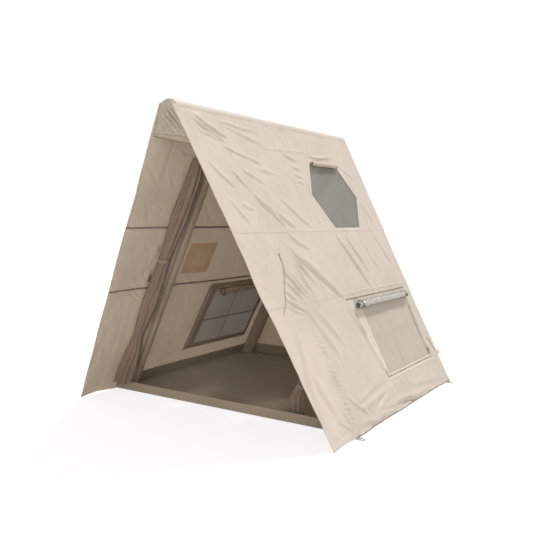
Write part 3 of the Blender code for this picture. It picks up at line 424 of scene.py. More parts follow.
# Woven cloth: colour drifts softly, creases and threads are relief, and some light comes through.
def wovenFinish(name, colour, other, rough=0.6, sheen=0.2, thread=0.0012, creases=0.0030, creaseSize=7.0,
                glow=0.0, gloss=0.35):
    colour, other = screenColour(*colour), screenColour(*other)
    finish = FinishTree(name)
    inSpace = finish.mapped("Object")
    drift = finish.noise(inSpace, 1.7, 3.0, 0.6)
    stains = finish.noise(inSpace, 11.0, 4.0, 0.6)
    base = finish.ramp(drift, ((0.30, other), (0.70, colour)))
    stained = finish.ramp(stains, ((0.35, darker(other, 0.86)), (0.65, colour)))
    weave = finish.maths("MAXIMUM", finish.bands(inSpace, thread, "X"), finish.bands(inSpace, thread, "Z"))
    woven = finish.ramp(weave, ((0.2, darker(colour, 0.8)), (0.9, colour)))
    shown = finish.mixColours(0.06, finish.mixColours(0.10, base, stained), woven)
    finish.shade({
        "Base Color": shown, "Sheen Weight": sheen, "Sheen Roughness": 0.45, "Specular IOR Level": gloss,
        "Roughness": finish.maths("MULTIPLY_ADD", stains, 0.16, rough - 0.08),
    })
    folds = finish.noise(finish.mapped("Object", (1, 1.3, 0.7), (0.5, 0.2, 0.3)), creaseSize, 2.0, 0.5, 0.8)
    ripples = finish.noise(inSpace, creaseSize * 4.3, 3.0, 0.55, 0.8)
    normal = finish.relief((folds, creases * 2.6), (ripples, creases * 0.14), (weave, thread * 0.03))
    if glow:
        through = finish.add("BsdfTranslucent", {"Color": shown, "Normal": normal})
        finish.show(finish.mixShaders(glow, finish.shader, through))
    return finish.material


# Net: threads with see-through holes between them.
def netFinish(name, colour, pitch, solid):
    colour = screenColour(*colour)
    finish = FinishTree(name)
    onCloth = finish.mapped("UV")
    threads = finish.maths("MAXIMUM", finish.bands(onCloth, pitch, "X"), finish.bands(onCloth, pitch, "Y"))
    drift = finish.noise(finish.mapped("Object"), 4.0, 3.0)
    finish.shade({
        "Base Color": finish.mixColours(drift, darker(colour, 0.88), colour), "Roughness": 0.75,
        "Sheen Weight": 0.2, "Alpha": finish.maths("MULTIPLY_ADD", threads, 0.30, solid - 0.18),
    })
    finish.relief((threads, 0.0002))
    return finish.material


# Clear plastic sheet: thin, creased and glossy.
def clearFinish(name, colour, solid):
    colour = screenColour(*colour)
    finish = FinishTree(name)
    inSpace = finish.mapped("Object")
    creased = finish.noise(inSpace, 24.0, 5.0, 0.6, 1.6)
    fine = finish.noise(inSpace, 90.0, 3.0, 0.5, 0.6)
    finish.shade({
        "Base Color": finish.ramp(creased, ((0.35, darker(colour, 0.82)), (0.65, colour))), "Roughness": 0.16,
        "Specular IOR Level": 0.75, "Coat Weight": 0.6,
        "Alpha": finish.maths("MULTIPLY_ADD", creased, 0.5, solid - 0.25),
    })
    finish.relief((creased, 0.006), (fine, 0.0008))
    return finish.material


# Moulded plastic or metal with a faint grain and worn, duller patches.
def hardFinish(name, colour, rough, metal=0.0, grain=60.0):
    colour = screenColour(*colour)
    finish = FinishTree(name)
    inSpace = finish.mapped("Object")
    worn = finish.noise(inSpace, grain, 4.0, 0.6)
    finish.shade({
        "Base Color": finish.mixColours(worn, darker(colour, 0.8), colour), "Metallic": metal,
        "Roughness": finish.maths("MULTIPLY_ADD", worn, 0.2, rough - 0.1),
    })
    finish.relief((finish.noise(inSpace, grain * 6, 2.0), 0.00015))
    return finish.material


# Webbing and tape: ribs across the strap, on its own chart or in space.
def webFinish(name, colour, other, pitch=0.0022, chart=True):
    colour, other = screenColour(*colour), screenColour(*other)
    finish = FinishTree(name)
    inSpace = finish.mapped("Object")
    ribs = finish.bands(finish.mapped("UV") if chart else inSpace, pitch, "X")
    shade = finish.mixColours(finish.noise(inSpace, 9.0, 3.0), other, colour)
    finish.shade({
        "Base Color": finish.mixColours(ribs, darker(other, 0.84), shade), "Roughness": 0.7,
        "Sheen Weight": 0.25,
    })
    finish.relief((ribs, 0.0003), (finish.noise(inSpace, 180.0, 2.0), 0.0002))
    return finish.material


# Colours are as on screen, 0 to 255; the second one is where the cloth is darker.
finishes = {
    "canvas": wovenFinish(
        "canvasOutside", (226, 212, 199), (214, 202, 188), rough=0.46, glow=0.34, creases=0.0022, gloss=0.5,
    ),
    "inside": wovenFinish(
        "canvasInside", (214, 206, 194), (204, 195, 182), rough=0.62, sheen=0.1, glow=0.60, creases=0.0010,
    ),
    "binding": wovenFinish(
        "bindingCloth", (220, 206, 192), (206, 192, 177), rough=0.55, creases=0.0012, creaseSize=26.0,
        thread=0.0010, glow=0.2,
    ),
    # Sleeve cloth: its colour is set below the wall canvas as painted shade of the tent's inside.
    "sleeve": wovenFinish(
        "sleeveClothPaintedShade", (176, 157, 138), (158, 140, 121), creases=0.0022, creaseSize=12.0, glow=0.15,
    ),
    # Curtain cloth: its colour is set well below the wall canvas as painted shade of the doorway's inside.
    "curtain": wovenFinish(
        "curtainClothPaintedShade", (146, 126, 110), (124, 105, 90), rough=0.58, creases=0.0016, creaseSize=16.0,
        glow=0.15,
    ),
    "cover": wovenFinish("coverCloth", (178, 160, 138), (158, 141, 120), creases=0.0016, creaseSize=20.0),
    "frame": wovenFinish("frameCloth", (160, 138, 118), (144, 123, 104), creases=0.0012, creaseSize=20.0),
    "seamInside": wovenFinish(
        "seamBinding", (138, 119, 99), (122, 104, 86), rough=0.65, creases=0.0008, creaseSize=30.0,
    ),
    "floor": wovenFinish(
        "floorCloth", (154, 139, 121), (137, 123, 106), rough=0.5, creases=0.0024, creaseSize=9.0, gloss=0.5,
    ),
    "sill": wovenFinish(
        "sillCloth", (166, 150, 131), (150, 134, 116), rough=0.5, creases=0.0020, creaseSize=12.0,
    ),
    "backInside": wovenFinish("backCloth", (206, 193, 176), (190, 176, 158), glow=0.35, creases=0.0026),
    "net": netFinish("skylightNet", (132, 132, 123), 0.0030, 0.46),
    "windowNet": netFinish("windowNet", (184, 171, 156), 0.0030, 0.79),
    "clear": clearFinish("clearSheet", (196, 189, 178), 0.66),
    "jackBorder": wovenFinish(
        "stoveBorder", (216, 185, 149), (200, 169, 134), rough=0.65, creases=0.0008, creaseSize=30.0,
    ),
    "jackCentre": wovenFinish(
        "stoveCentre", (216, 193, 155), (204, 181, 144), creases=0.0008, creaseSize=24.0,
    ),
    "web": webFinish("webbing", (160, 143, 123), (140, 123, 104)),
    "webSpace": webFinish("webbingLoops", (168, 152, 131), (150, 134, 114), chart=False),
    "zipTape": webFinish("zipTape", (150, 136, 118), (134, 120, 103), 0.0016),
    "zipTeeth": hardFinish("zipTeeth", (118, 104, 88), 0.42),
    "zipMetal": hardFinish("zipMetal", (132, 126, 116), 0.35, 0.9),
    "valve": hardFinish("valvePlastic", (196, 188, 172), 0.45),
    "dark": hardFinish("darkFitting", (78, 68, 58), 0.5),
    "bladder": hardFinish("airBladder", (206, 200, 188), 0.4, grain=14.0),
    "cord": webFinish("cordBraid", (196, 182, 162), (176, 161, 141), 0.0030),
}
print("tent: finishes")


# How the roof cloth lies: single creases and fans of them from what pulls on it, and soft folds between.
roof = {
    "cloth": 0.0024,
    "step": 0.0098,
    "skylight": (
        (0.305, 1.6574), (0.815, 1.6574), (1.02, 1.9774), (0.815, 2.2974), (0.305, 2.2974), (0.10, 1.9774),
    ),
    "window": ((0.192, 0.3166), (1.212, 0.3166), (1.212, 0.9506), (0.192, 0.9506)),
    "stove": ((-0.31, 1.2366), (-0.12, 1.2366), (-0.12, 1.4166), (-0.31, 1.4166)),
    "hemRise": 0.020,
    # What holds the hem down, and the two stretches between, each with its start and length.
    "held": (-1.10, -0.726, 1.37, 1.46),
    "stretches": ((-1.10, 0.374), (-0.726, 2.096)),
    "rearZip": 1.236,
    # The left wall lies flat round the rain flap's hinge: middle, how far flat and faded each way, depth.
    "flapHinge": (-0.215, 1.4666),
    "hingeAlong": (0.155, 0.21),
    "hingeUp": (0.05, 0.11),
    "hingeDepth": 0.0008,
    # Creases from (y, up) to (y, up), with their width and height.
    "creases": (
        (-1.24, 2.575, -0.90, 2.425, 0.014, 0.0085), (-1.27, 2.545, -0.95, 2.390, 0.013, 0.0070),
        (-0.93, 2.545, -0.50, 2.512, 0.013, 0.0060), (-0.90, 2.515, -0.44, 2.415, 0.016, 0.0050),
        (-1.26, 2.445, -1.00, 2.400, 0.015, 0.0045), (-1.02, 2.360, -0.82, 2.300, 0.012, 0.0050),
        (-0.85, 2.312, -0.56, 2.230, 0.013, 0.0080), (-0.86, 2.165, -0.60, 2.045, 0.013, 0.0070),
        (-1.02, 2.155, -0.88, 1.985, 0.013, 0.0055), (-0.83, 1.950, -0.55, 1.670, 0.015, 0.0095),
        (-0.77, 1.892, -0.39, 1.655, 0.016, 0.0070), (-0.48, 1.925, -0.10, 1.655, 0.018, 0.0055),
        (-0.14, 2.356, 0.08, 2.295, 0.012, 0.0070), (-0.08, 2.242, 0.085, 2.210, 0.011, 0.0055),
        (-0.09, 2.170, 0.055, 2.140, 0.011, 0.0050), (-0.08, 2.106, 0.05, 2.090, 0.010, 0.0045),
        (-0.42, 2.376, 0.33, 2.402, 0.014, 0.0032), (0.34, 2.368, 0.84, 2.384, 0.012, 0.0055),
        (-0.68, 2.184, -0.42, 2.140, 0.014, 0.0045), (-1.29, 2.200, -1.05, 1.990, 0.016, 0.0050),
        (-1.05, 1.880, -0.90, 1.826, 0.012, 0.0042), (-1.18, 1.900, -1.02, 1.700, 0.018, 0.0040),
        (-0.74, 1.585, -0.02, 1.015, 0.019, 0.0105), (-0.72, 1.520, -0.44, 1.190, 0.014, 0.0075),
        (-0.71, 1.455, -0.52, 1.100, 0.013, 0.0065), (-0.58, 1.628, -0.30, 1.475, 0.014, 0.0060),
        (-0.66, 1.575, -0.18, 1.180, 0.020, 0.0060), (0.25, 1.615, 0.56, 1.080, 0.013, 0.0075),
        (0.43, 1.610, 0.64, 1.220, 0.014, 0.0060), (0.70, 1.590, 0.92, 1.200, 0.020, 0.0035),
        (-0.88, 1.350, -0.62, 1.098, 0.013, 0.0070), (-0.80, 1.330, -0.58, 1.120, 0.012, 0.0060),
        (-0.90, 1.270, -0.70, 1.085, 0.012, 0.0060), (-0.99, 1.122, -0.72, 0.995, 0.013, 0.0065),
        (-0.98, 1.060, -0.78, 0.980, 0.012, 0.0050), (-0.96, 1.190, -0.80, 1.080, 0.012, 0.0050),
        (-0.71, 1.025, -0.50, 0.580, 0.022, 0.0065), (-0.60, 1.010, -0.33, 0.640, 0.024, 0.0045),
        (0.24, 0.240, -0.54, 0.155, 0.018, 0.0080), (0.15, 0.220, -0.31, 0.070, 0.016, 0.0085),
        (-0.10, 0.300, -0.50, 0.230, 0.018, 0.0045), (-0.66, 0.060, 0.14, 0.048, 0.018, 0.0085),
        (-0.20, 0.100, 0.60, 0.060, 0.018, 0.0080), (0.12, 0.105, 1.05, 0.030, 0.018, 0.0075),
        (0.50, 0.150, 1.35, 0.060, 0.020, 0.0055), (-0.98, 0.860, -1.10, 0.220, 0.030, 0.0055),
        (-1.00, 0.600, -0.84, 0.120, 0.026, 0.0045), (-0.66, 0.300, -0.40, 0.100, 0.016, 0.0060),
        (-0.06, 0.990, 0.06, 0.640, 0.022, 0.0050), (0.02, 0.700, 0.12, 0.420, 0.018, 0.0035),
        (0.14, 1.010, 0.16, 0.985, 0.010, 0.0040), (1.06, 1.640, 1.24, 1.260, 0.020, 0.0045),
        (1.05, 1.950, 1.22, 1.700, 0.018, 0.0040), (0.86, 2.330, 1.16, 2.180, 0.018, 0.0040),
    ),
    # Rows of short puckers where a sleeve is sewn on: line from (y, up) to (y, up), spacing, reach, height.
    "puckers": (
        (-0.685, 0.10, -0.705, 0.95, 0.036, 0.065, 0.0125),
        (-0.745, 1.00, -0.790, 1.66, 0.040, 0.040, 0.0045),
        (1.362, 0.12, 1.345, 1.10, 0.040, 0.080, 0.0110),
        (1.330, 1.10, 1.290, 2.30, 0.048, 0.050, 0.0045),
    ),
    # Fans of creases: y, up, reach, rays and height.
    "fans": (
        (-0.822, 1.400, 0.34, 11, 0.0050), (-0.726, 0.020, 0.42, 13, 0.0065),
        (1.370, 0.020, 0.34, 11, 0.0050), (0.170, 0.975, 0.22, 9, 0.0035),
        (1.240, 0.975, 0.20, 9, 0.0035), (0.190, 0.255, 0.30, 9, 0.0045),
        (1.235, 0.290, 0.22, 9, 0.0035), (0.080, 1.977, 0.22, 9, 0.0035), (1.040, 1.977, 0.20, 9, 0.0030),
        (-1.380, 2.590, 0.42, 11, 0.0050), (-1.100, 0.020, 0.34, 9, 0.0040),
    ),
}


# Distance along y to the nearer leg's middle; both lean forward as they rise.
def beamDistance(y, up):
    z = up * tent["wallCos"]
    front = y - tent["frontLeg"] + tent["frontLegLean"] * z
    behind = y - tent["backLeg"] + tent["backLegLean"] * z
    return np.minimum(np.abs(front), np.abs(behind))


# Height of one crease: a crest along its line with a hollow beside it, tapering to both ends.
def creaseHeight(y, up, start, end, width, height):
    run = np.array(end) - np.array(start)
    length = float(np.hypot(*run))
    alongY, alongUp = run / length
    share = ((y - start[0]) * alongY + (up - start[1]) * alongUp) / length
    across = (up - start[1]) * alongY - (y - start[0]) * alongUp
    taper = np.clip(np.sin(np.pi * np.clip(share, 0, 1)), 0, 1) ** 0.55
    wide = width * (0.75 + 0.45 * taper)
    crest = np.exp(-(across / wide) ** 2) - 0.60 * np.exp(-((across + 1.55 * wide) / (0.85 * wide)) ** 2)
    return height * crest * taper


# Height of the cloth over the flat wall: creases, puckers, fans, soft folds, then what holds it flat.
def drape(side, y, up):
    y, up = np.broadcast_arrays(np.asarray(y, float), np.asarray(up, float))
    seed = 3 if side > 0 else 17
    swayY = y + 0.016 * softNoise(y * 6.0, up * 6.0, seed) + (0.0 if side > 0 else 0.045)
    swayUp = up + 0.016 * softNoise(y * 6.0 + 9, up * 6.0, seed + 1) + (0.0 if side > 0 else 0.02)
    height = np.zeros(y.shape)
    full, calm = (1.6, 1.0) if side > 0 else (0.45, 0.45)
    for startY, startUp, endY, endUp, width, lift in roof["creases"]:
        ends = (startY, startUp), (endY, endUp)
        height = height + full * creaseHeight(swayY, swayUp, *ends, 1.12 * width, lift)
    for startY, startUp, endY, endUp, spacing, reach, lift in roof["puckers"]:
        share = np.clip((up - startUp) / (endUp - startUp), 0, 1)
        away = y - (startY + (endY - startY) * share)
        wave = (swayUp + 0.35 * away) / spacing
        drift = 1.5 * softNoise(wave * 0.7, wave * 0, seed + 5)
        crest = (0.5 + 0.5 * np.cos(2 * math.pi * wave + drift)) ** 2.2
        inside = smoothStep(up, startUp - 0.03, startUp + 0.03)
        inside = inside * (1 - smoothStep(up, endUp - 0.03, endUp + 0.03))
        uneven = 0.65 + 0.35 * softNoise(wave * 0.31, 0 * up, seed + 6)
        height = height + calm * lift * crest * inside * near(away, reach) * uneven
    for number, (pullY, pullUp, reach, rays, lift) in enumerate(roof["fans"]):
        away = np.hypot(swayY - pullY, swayUp - pullUp)
        turn = np.arctan2(swayUp - pullUp, swayY - pullY)
        ray = crests(turn * rays / 2.2, away * 2.0, seed + 31 * number, 3.4)
        ray = ray * smoothStep(away, 0.012, 0.07) * (1 - smoothStep(away, 0.15 * reach, reach))
        height = height + 1.3 * calm * lift * ray
    slope, across = 0.75 * swayY + 0.66 * swayUp, -0.66 * swayY + 0.75 * swayUp
    patchy = 0.5 + 0.5 * softNoise(y * 2, up * 2, seed + 20)
    height = height + 0.0034 * calm * crests(slope * 6.5, across * 1.6, seed + 8, 3.2) * patchy
    patchy = 0.5 + 0.5 * softNoise(y * 2.4, up * 2.1, seed + 21)
    height = height + 0.0022 * calm * crests(across * 11, slope * 2.4, seed + 7, 3.0) * patchy
    if side < 0:
        hanging = 1 - smoothStep(y, -0.72, -0.40)
        pleats = crests(y * 7 + 0.3 * up, up * 0.7, seed + 22, 2.4)
        height = height + 0.0060 * hanging * pleats * smoothStep(up, 0.1, 0.5)
    height = height + 0.0012 * softNoise(y * 17, up * 14, seed + 9)
    height = height + 0.0050 * softNoise(y * 3.1, up * 2.7, seed + 10)
    for line in (tent["upperSeam"], tent["lowerSeam"]):
        gather = np.exp(-((up - line) / 0.07) ** 2)
        height = height + gather * (0.0026 * crests(y * 12, up * 1.6, seed + int(line * 10), 2.6) - 0.0010)
    sag = 0.004 * near(y - 0.40, 1.05) * smoothStep(up, 0.05, 0.6) * (1 - smoothStep(up, 2.0, 2.55))
    height = height - sag
    beam = near(beamDistance(y, up), 0.15)
    height = height * (1 - beam) + np.maximum(0.75 * height, -0.0006) * beam
    underZip = 1 - smoothStep(np.abs(y - roof["rearZip"]), 0.016, 0.050)
    underZip = underZip * smoothStep(up, 0.24, 0.28) * (1 - smoothStep(up, 0.97, 1.01))
    height = height * (1 - underZip)
    wing = 1 - smoothStep(y - frontEdge(up * tent["wallCos"]), 0.02, 0.30)
    height = height + wing * 0.0045 * softNoise(up * 4.2, y * 1.0, seed + 12)
    if side < 0:
        hingeY, hingeUp = roof["flapHinge"]
        flat = 1 - smoothStep(np.abs(up - hingeUp), *roof["hingeUp"])
        flat = flat * (1 - smoothStep(np.abs(y - hingeY), *roof["hingeAlong"]))
        height = height * (1 - flat) - roof["hingeDepth"] * flat
    return height * (1 - smoothStep(up, 2.57, 2.63))


# The hem lifts off the ground between what holds it down.
def hemRise(side, y):
    shares = [np.sin(np.pi * np.clip((y - start) / length, 0, 1)) for start, length in roof["stretches"]]
    first, middle = shares[0] * 0.9, shares[1] ** 0.8 * 0.35
    ripple = 0.20 * softNoise(y * 5.5, y * 0 + side, 41)
    hold = smoothStep(np.abs(y[..., None] - np.array(roof["held"])).min(-1), 0.0, 0.12)
    return roof["hemRise"] * np.clip(first + middle + ripple * hold, 0, 1.3)


def wallSurface(side, y, up, lift=0.0):
    return wallPoint(side, y, up, drape(side, y, up) + lift)


# Points along a closed outline grown by a distance, corners mitred, about one step apart.
def outlinePoints(corners, grow, step=None):
    corners = np.asarray(corners, float)
    edge = np.roll(corners, -1, 0) - corners
    edge /= np.linalg.norm(edge, axis=1)[:, None]
    out = np.stack((edge[:, 1], -edge[:, 0]), -1)
    before = np.roll(out, 1, 0)
    mitre = (out + before) / (1 + (out * before).sum(1))[:, None]
    moved = corners + mitre * grow
    length = np.linalg.norm(np.roll(corners, -1, 0) - corners, axis=1)
    counts = np.maximum(2, np.round(length / (step or roof["step"])).astype(int))
    parts = [
        moved[k] + (np.roll(moved, -1, 0)[k] - moved[k]) * (np.arange(count) / count)[:, None]
        for k, count in enumerate(counts)
    ]
    return np.concatenate(parts)


# True inside an outline grown by a distance (for outlines that bulge outwards at every corner).
def insideOutline(corners, grow, y, up):
    corners = np.asarray(corners, float)
    edge = np.roll(corners, -1, 0) - corners
    edge /= np.linalg.norm(edge, axis=1)[:, None]
    inside = np.ones(np.broadcast(y, up).shape, bool)
    for (cornerY, cornerUp), (alongY, alongUp) in zip(corners, edge):
        inside &= (y - cornerY) * alongUp - (up - cornerUp) * alongY < grow
    return inside


# Cloth of one wall in three widths, sewn at the seams: rows climb the slope, columns run front to back.
def roofWidth(side, word, low, high):
    rows = int((high - low) / roof["step"])
    columns = int(2.68 / roof["step"])
    rise = np.linspace(low, high, rows)[:, None]
    along = np.linspace(0, 1, columns)[None]
    up = rise + 0 * along
    z = up * tent["wallCos"]
    y = frontEdge(z) + (backEdge(z) - frontEdge(z)) * along
    up = up + hemRise(side, y) * (1 - rise / tent["wallTop"]) ** 22
    wave = 0.005 * softNoise(up * 3.3, up * 0 + 5 * side, 51) * smoothStep(rise, 0.05, 0.30)
    y = y + wave * (1 - smoothStep(rise, 2.30, 2.55)) * ((1 - along) ** 12 + along ** 12)
    points = wallSurface(side, y, up)
    middleY = (y[1:, 1:] + y[:-1, :-1]) / 2
    middleUp = (up[1:, 1:] + up[:-1, :-1]) / 2
    keep = ~insideOutline(roof["skylight"], 0.010, middleY, middleUp)
    keep &= ~insideOutline(roof["window"], 0.010, middleY, middleUp)
    if side < 0:
        keep &= ~insideOutline(roof["stove"], 0.010, middleY, middleUp)
    piece = surface(
        sideWord(side) + word + "RoofCloth", points, np.stack((y, up), -1), flip=side < 0,
        keep=keep, wears=("canvas", "inside"),
    )
    place(piece, [sideWord(side) + "_roof_panel"], thickness=roof["cloth"], innerFinish=1)


for side in (-1, 1):
    roofWidth(side, "Lower", 0.0, tent["lowerSeam"] + 0.006)
    roofWidth(side, "Middle", tent["lowerSeam"] - 0.006, tent["upperSeam"] + 0.006)
    roofWidth(side, "Upper", tent["upperSeam"] - 0.006, tent["wallTop"])
print("tent: roof walls")


# Both coordinates of a point at a distance along a straight line and one across it.
def besideLine(start, ahead, run, across):
    return start[0] + ahead[0] * run - ahead[1] * across, start[1] + ahead[1] * run + ahead[0] * across


# Grid of a strip along a line: run along it, distance across it, and both coordinates.
def stripGrid(start, end, width, shares, step):
    start, end = np.array(start, float), np.array(end, float)
    length = float(np.hypot(*(end - start)))
    run = np.linspace(0, length, max(6, int(length / step)))[None]
    across = (np.array(shares) * width)[:, None]
    return (run, across, *besideLine(start, (end - start) / length, run, across))


# Strip sewn along a line on a wall, from (y, up) to (y, up): its rims are pressed down, its middle is proud.
def sewnStrip(name, side, start, end, width, finish, outside=True, proud=0.0008, slot="canvas"):
    shares = (-0.5, -0.44, -0.16, 0.16, 0.44, 0.5)
    run, across, y, up = stripGrid(start, end, width, shares, roof["step"])
    lift = np.array((0.0002, 1.0, 0.9, 0.9, 1.0, 0.0002))[:, None] * proud
    lift = np.where(proud < 0, proud, np.maximum(lift, 0.0003))
    lift = lift + 0.0004 * (softNoise(run * 34, across * 90, 61) + 1) * (lift > 0.0005)
    lift = lift if outside else -(roof["cloth"] + 0.0010 + lift)
    points = wallSurface(side, y, up, lift)
    chart = stacked(run, across)
    piece = surface(name, points, chart, flip=(side < 0) == outside, wears=(finish,))
    place(piece, thickness=0.0008)


# Felled seams and hems of both walls.
for side in (-1, 1):
    word = sideWord(side)
    for seam, line in (("Upper", tent["upperSeam"]), ("Lower", tent["lowerSeam"])):
        z = line * tent["wallCos"]
        ends = (frontEdge(z) + 0.002, line), (backEdge(z) - 0.002, line)
        sewnStrip(word + seam + "Seam", side, *ends, 0.022, "canvas")
        sewnStrip(word + seam + "SeamInside", side, *ends, 0.011, "seamInside", outside=False)


# Binding over the bottom edge of a wall, from the front leg to the back corner: its section runs from the
# outer rim round under the wall's edge to the inner rim, in distances up the wall and out from it.
hem = {
    "across": (0.008, 0.0075, 0.004, 0.0006, -0.0006, 0.0006, 0.004, 0.0075, 0.008),
    "lift": (0.0002, 0.0012, 0.0014, 0.0012, -0.0012, -0.0036, -0.0038, -0.0036, -0.0026),
    "front": -0.715, "toCorner": 0.004, "columns": 230, "cloth": 0.0006,
}


def bottomHem(side):
    y = np.linspace(hem["front"], tent["backFoot"] - hem["toCorner"], hem["columns"])[None]
    across, lift = np.array(hem["across"])[:, None], np.array(hem["lift"])[:, None]
    up = hemRise(side, y + 0 * across) + across + 0.0008
    points = wallSurface(side, y + 0 * across, up, lift + 0 * y)
    chart = stacked(y, np.linspace(0, 0.018, 9)[:, None])
    piece = surface(sideWord(side) + "BottomHem", points, chart, flip=side > 0,
                    wears=("seamInside",))
    place(piece, thickness=hem["cloth"])


bottomHem(-1)
bottomHem(1)
print("tent: seams and hems")


# Cover over the ridge beam: a tube's upper side, snug, with puckers across it near the nose.
ridge = {
    "lap": 0.016, "cloth": 0.0022, "rise": 0.0012, "pucker": 0.0034,
    # The pocket's drop below the top, its round, and the share of its rows and turn that close over the nose.
    "noseDrop": 0.255, "noseRound": 0.050, "domeShare": 0.28, "domeTurn": 66,
    "hemTilt": 0.018, "hemBow": 0.006, "bandBack": 0.036,
    # Folds of the gable's cloth, from (x, z) to (x, z), with width and height.
    "folds": (
        (-0.040, 2.350, 0.105, 2.165, 0.010, 0.0150), (-0.005, 2.365, 0.140, 2.165, 0.009, 0.0130),
        (-0.060, 2.310, 0.060, 2.150, 0.011, 0.0130), (0.020, 2.330, 0.125, 2.205, 0.008, 0.0090),
        (-0.075, 2.240, -0.010, 2.150, 0.011, 0.0080), (-0.100, 2.180, 0.020, 2.158, 0.011, 0.0090),
    ),
}


# Half the width between the roof walls at a height.
def wallHalf(z):
    return (tent["halfBase"] * tent["wallCos"] - z * tent["wallSin"]) / tent["wallCos"]


def ridgeCover():
    wallTurn = math.atan2(tent["wallSin"], tent["wallCos"])
    lapUp = np.linspace(tent["wallTop"] - ridge["lap"], tent["wallTop"], 7)[:-1]
    turns = np.linspace(wallTurn, math.pi - wallTurn, 25)
    right = wallPoint(1, 0.0, lapUp, 0.0)
    left = wallPoint(-1, 0.0, lapUp[::-1], 0.0)
    radius = tent["ridgeRadius"]
    arc = np.stack((radius * np.cos(turns), 0 * turns, tent["ridgeHeight"] + radius * np.sin(turns)), -1)
    line = np.concatenate((right, arc, left))
    outward = np.concatenate((
        np.tile((tent["wallCos"], 0, tent["wallSin"]), (6, 1)),
        np.stack((np.cos(turns), 0 * turns, np.sin(turns)), -1),
        np.tile((-tent["wallCos"], 0, tent["wallSin"]), (6, 1)),
    ))
    along = np.linspace(0, 1, 190)[None]
    z = line[:, 2][:, None]
    across = runAlong(line)[:, None]
    middle = 1 - np.abs(2 * across / across[-1] - 1)
    start = frontEdge(z) + 0.0015 + (ridge["noseRound"] - 0.012) * smoothStep(middle, 0.19, 0.34)
    y = start + (backEdge(z) - 0.0015 - start) * along
    lift = ridge["rise"] + 0.0012 * softNoise(y * 7.0, across * 9.0, 71)
    lift = lift + ridge["pucker"] * crests(y * 17.0, across * 2.6, 72, 3.0) * middle ** 0.6 * (
        0.35 + 0.65 * np.exp(-((y + 1.40) / 0.22) ** 2) + 0.45 * np.exp(-((y - 1.31) / 0.15) ** 2)
    )
    lift = lift * smoothStep(middle, 0.0, 0.10) + 0.0006
    lift[:6] += drape(1, y[:6], lapUp[:, None])
    lift[-6:] += drape(-1, y[-6:], lapUp[::-1, None])
    points = line[:, None] * (1, 0, 1) + outward[:, None] * lift[..., None]
    points[..., 1] = y
    chart = np.stack((y + 0 * across, across + 0 * y), -1)
    piece = surface("ridgeCloth", points, chart, wears=("canvas", "inside"))
    place(piece, ["ridge_cover"], thickness=ridge["cloth"], innerFinish=1)


# Pocket at the front: it wraps the beam's nose and closes the small gable under it.
def gableCap():
    low = tent["height"] - ridge["noseDrop"]
    rows, columns = 64, 81
    whole = np.linspace(0, 1, rows)[:, None]
    dome = np.clip(whole / ridge["domeShare"], 0, 1) * math.radians(ridge["domeTurn"])
    down = np.clip((whole - ridge["domeShare"]) / (1 - ridge["domeShare"]), 0, 1)
    across = np.linspace(-1, 1, columns)[None]
    bottom = low + 0.002 - ridge["hemTilt"] * across + ridge["hemBow"] * (1 - across ** 2)
    turn = across * (math.pi / 2 - math.atan2(tent["wallSin"], tent["wallCos"]))
    radius = (tent["ridgeRadius"] + 0.0012) * (1 - (1 - across ** 2) * (1 - np.cos(dome)))
    topX = radius * np.sin(turn)
    topZ = tent["ridgeHeight"] + radius * np.cos(turn)
    half = wallHalf(bottom) - 0.008
    x = topX + (across * half - topX) * down
    z = topZ + (bottom - topZ) * down
    bulge = np.sin(np.pi * np.clip(down * 1.4, 0, 1)) * np.clip(1 - across ** 2, 0, 1) * 0.010
    y = frontEdge(z) + 0.003 + (ridge["noseRound"] - 0.003) * (1 - np.sin(dome)) + 0.023 * down ** 0.7
    y = y - 0.7 * bulge - 0.003 * softNoise(across * 4, down * 4, 78) * down
    for startX, startZ, endX, endZ, width, lift in ridge["folds"]:
        y = y - creaseHeight(x, z, (startX, startZ), (endX, endZ), width, lift)
    y = np.maximum(y, frontEdge(z) + 0.0015)
    points = np.stack((x, y, z), -1)
    chart = np.stack((x, z), -1)
    piece = surface("gableCapCloth", points, chart, wears=("canvas", "inside"))
    place(piece, ["front_gable_cap"], thickness=0.0026, innerFinish=1)

    # Band sewn behind the pocket's lower edge, deeper towards the right, in the darker sleeve cloth as
    # painted shade under the pocket, with a dark strip along its own edge: an edge tape darkened as a painted
    # shadow line.
    foot = low - 0.030 - 0.034 * across
    for name, start, end, finish in (
        ("gableBand", foot, bottom + 0.012, "sleeve"),
        ("gableBandShadowTape", foot - 0.007, foot, "seamInside"),
    ):
        rise = np.linspace(0, 1, 7)[:, None]
        z = start + rise * (end - start)
        x = across * (wallHalf(z) - 0.0045)
        y = frontEdge(z) + ridge["bandBack"] - 0.004 * np.sin(np.pi * rise)
        y = y + 0.002 * softNoise(x * 30, z * 30, 80)
        band = surface(name, stacked(x, y, z), stacked(x, z), wears=(finish, "inside"))
        place(band, thickness=0.0020, innerFinish=1)


ridgeCover()
gableCap()
print("tent: ridge")


# Back wall: a sheet between the roof walls, a middle seam, and an A-shaped window closed by a lighter panel.
back = {
    "apex": 1.70, "sill": 0.30, "sillHalf": 0.6837, "top": 2.3945, "cloth": 0.002,
    "strip": 0.042, "jambInset": 0.010,
    # Rows set close together where the sheet turns over the ridge's round.
    "crownRows": (0.988, 0.990, 0.992, 0.9945, 0.997, 0.999),
}


# Half width of the back wall at a height: the walls' slope, then the round of the ridge.
def backHalf(z):
    slope = wallHalf(z) - 0.0036
    underRidge = tent["ridgeRadius"] - 0.0036
    bow = np.sqrt(np.clip(underRidge ** 2 - np.clip(z - tent["ridgeHeight"], 0, underRidge) ** 2, 0, 1))
    return np.where(z > tent["ridgeHeight"] + underRidge * tent["wallSin"], np.minimum(slope, bow), slope)


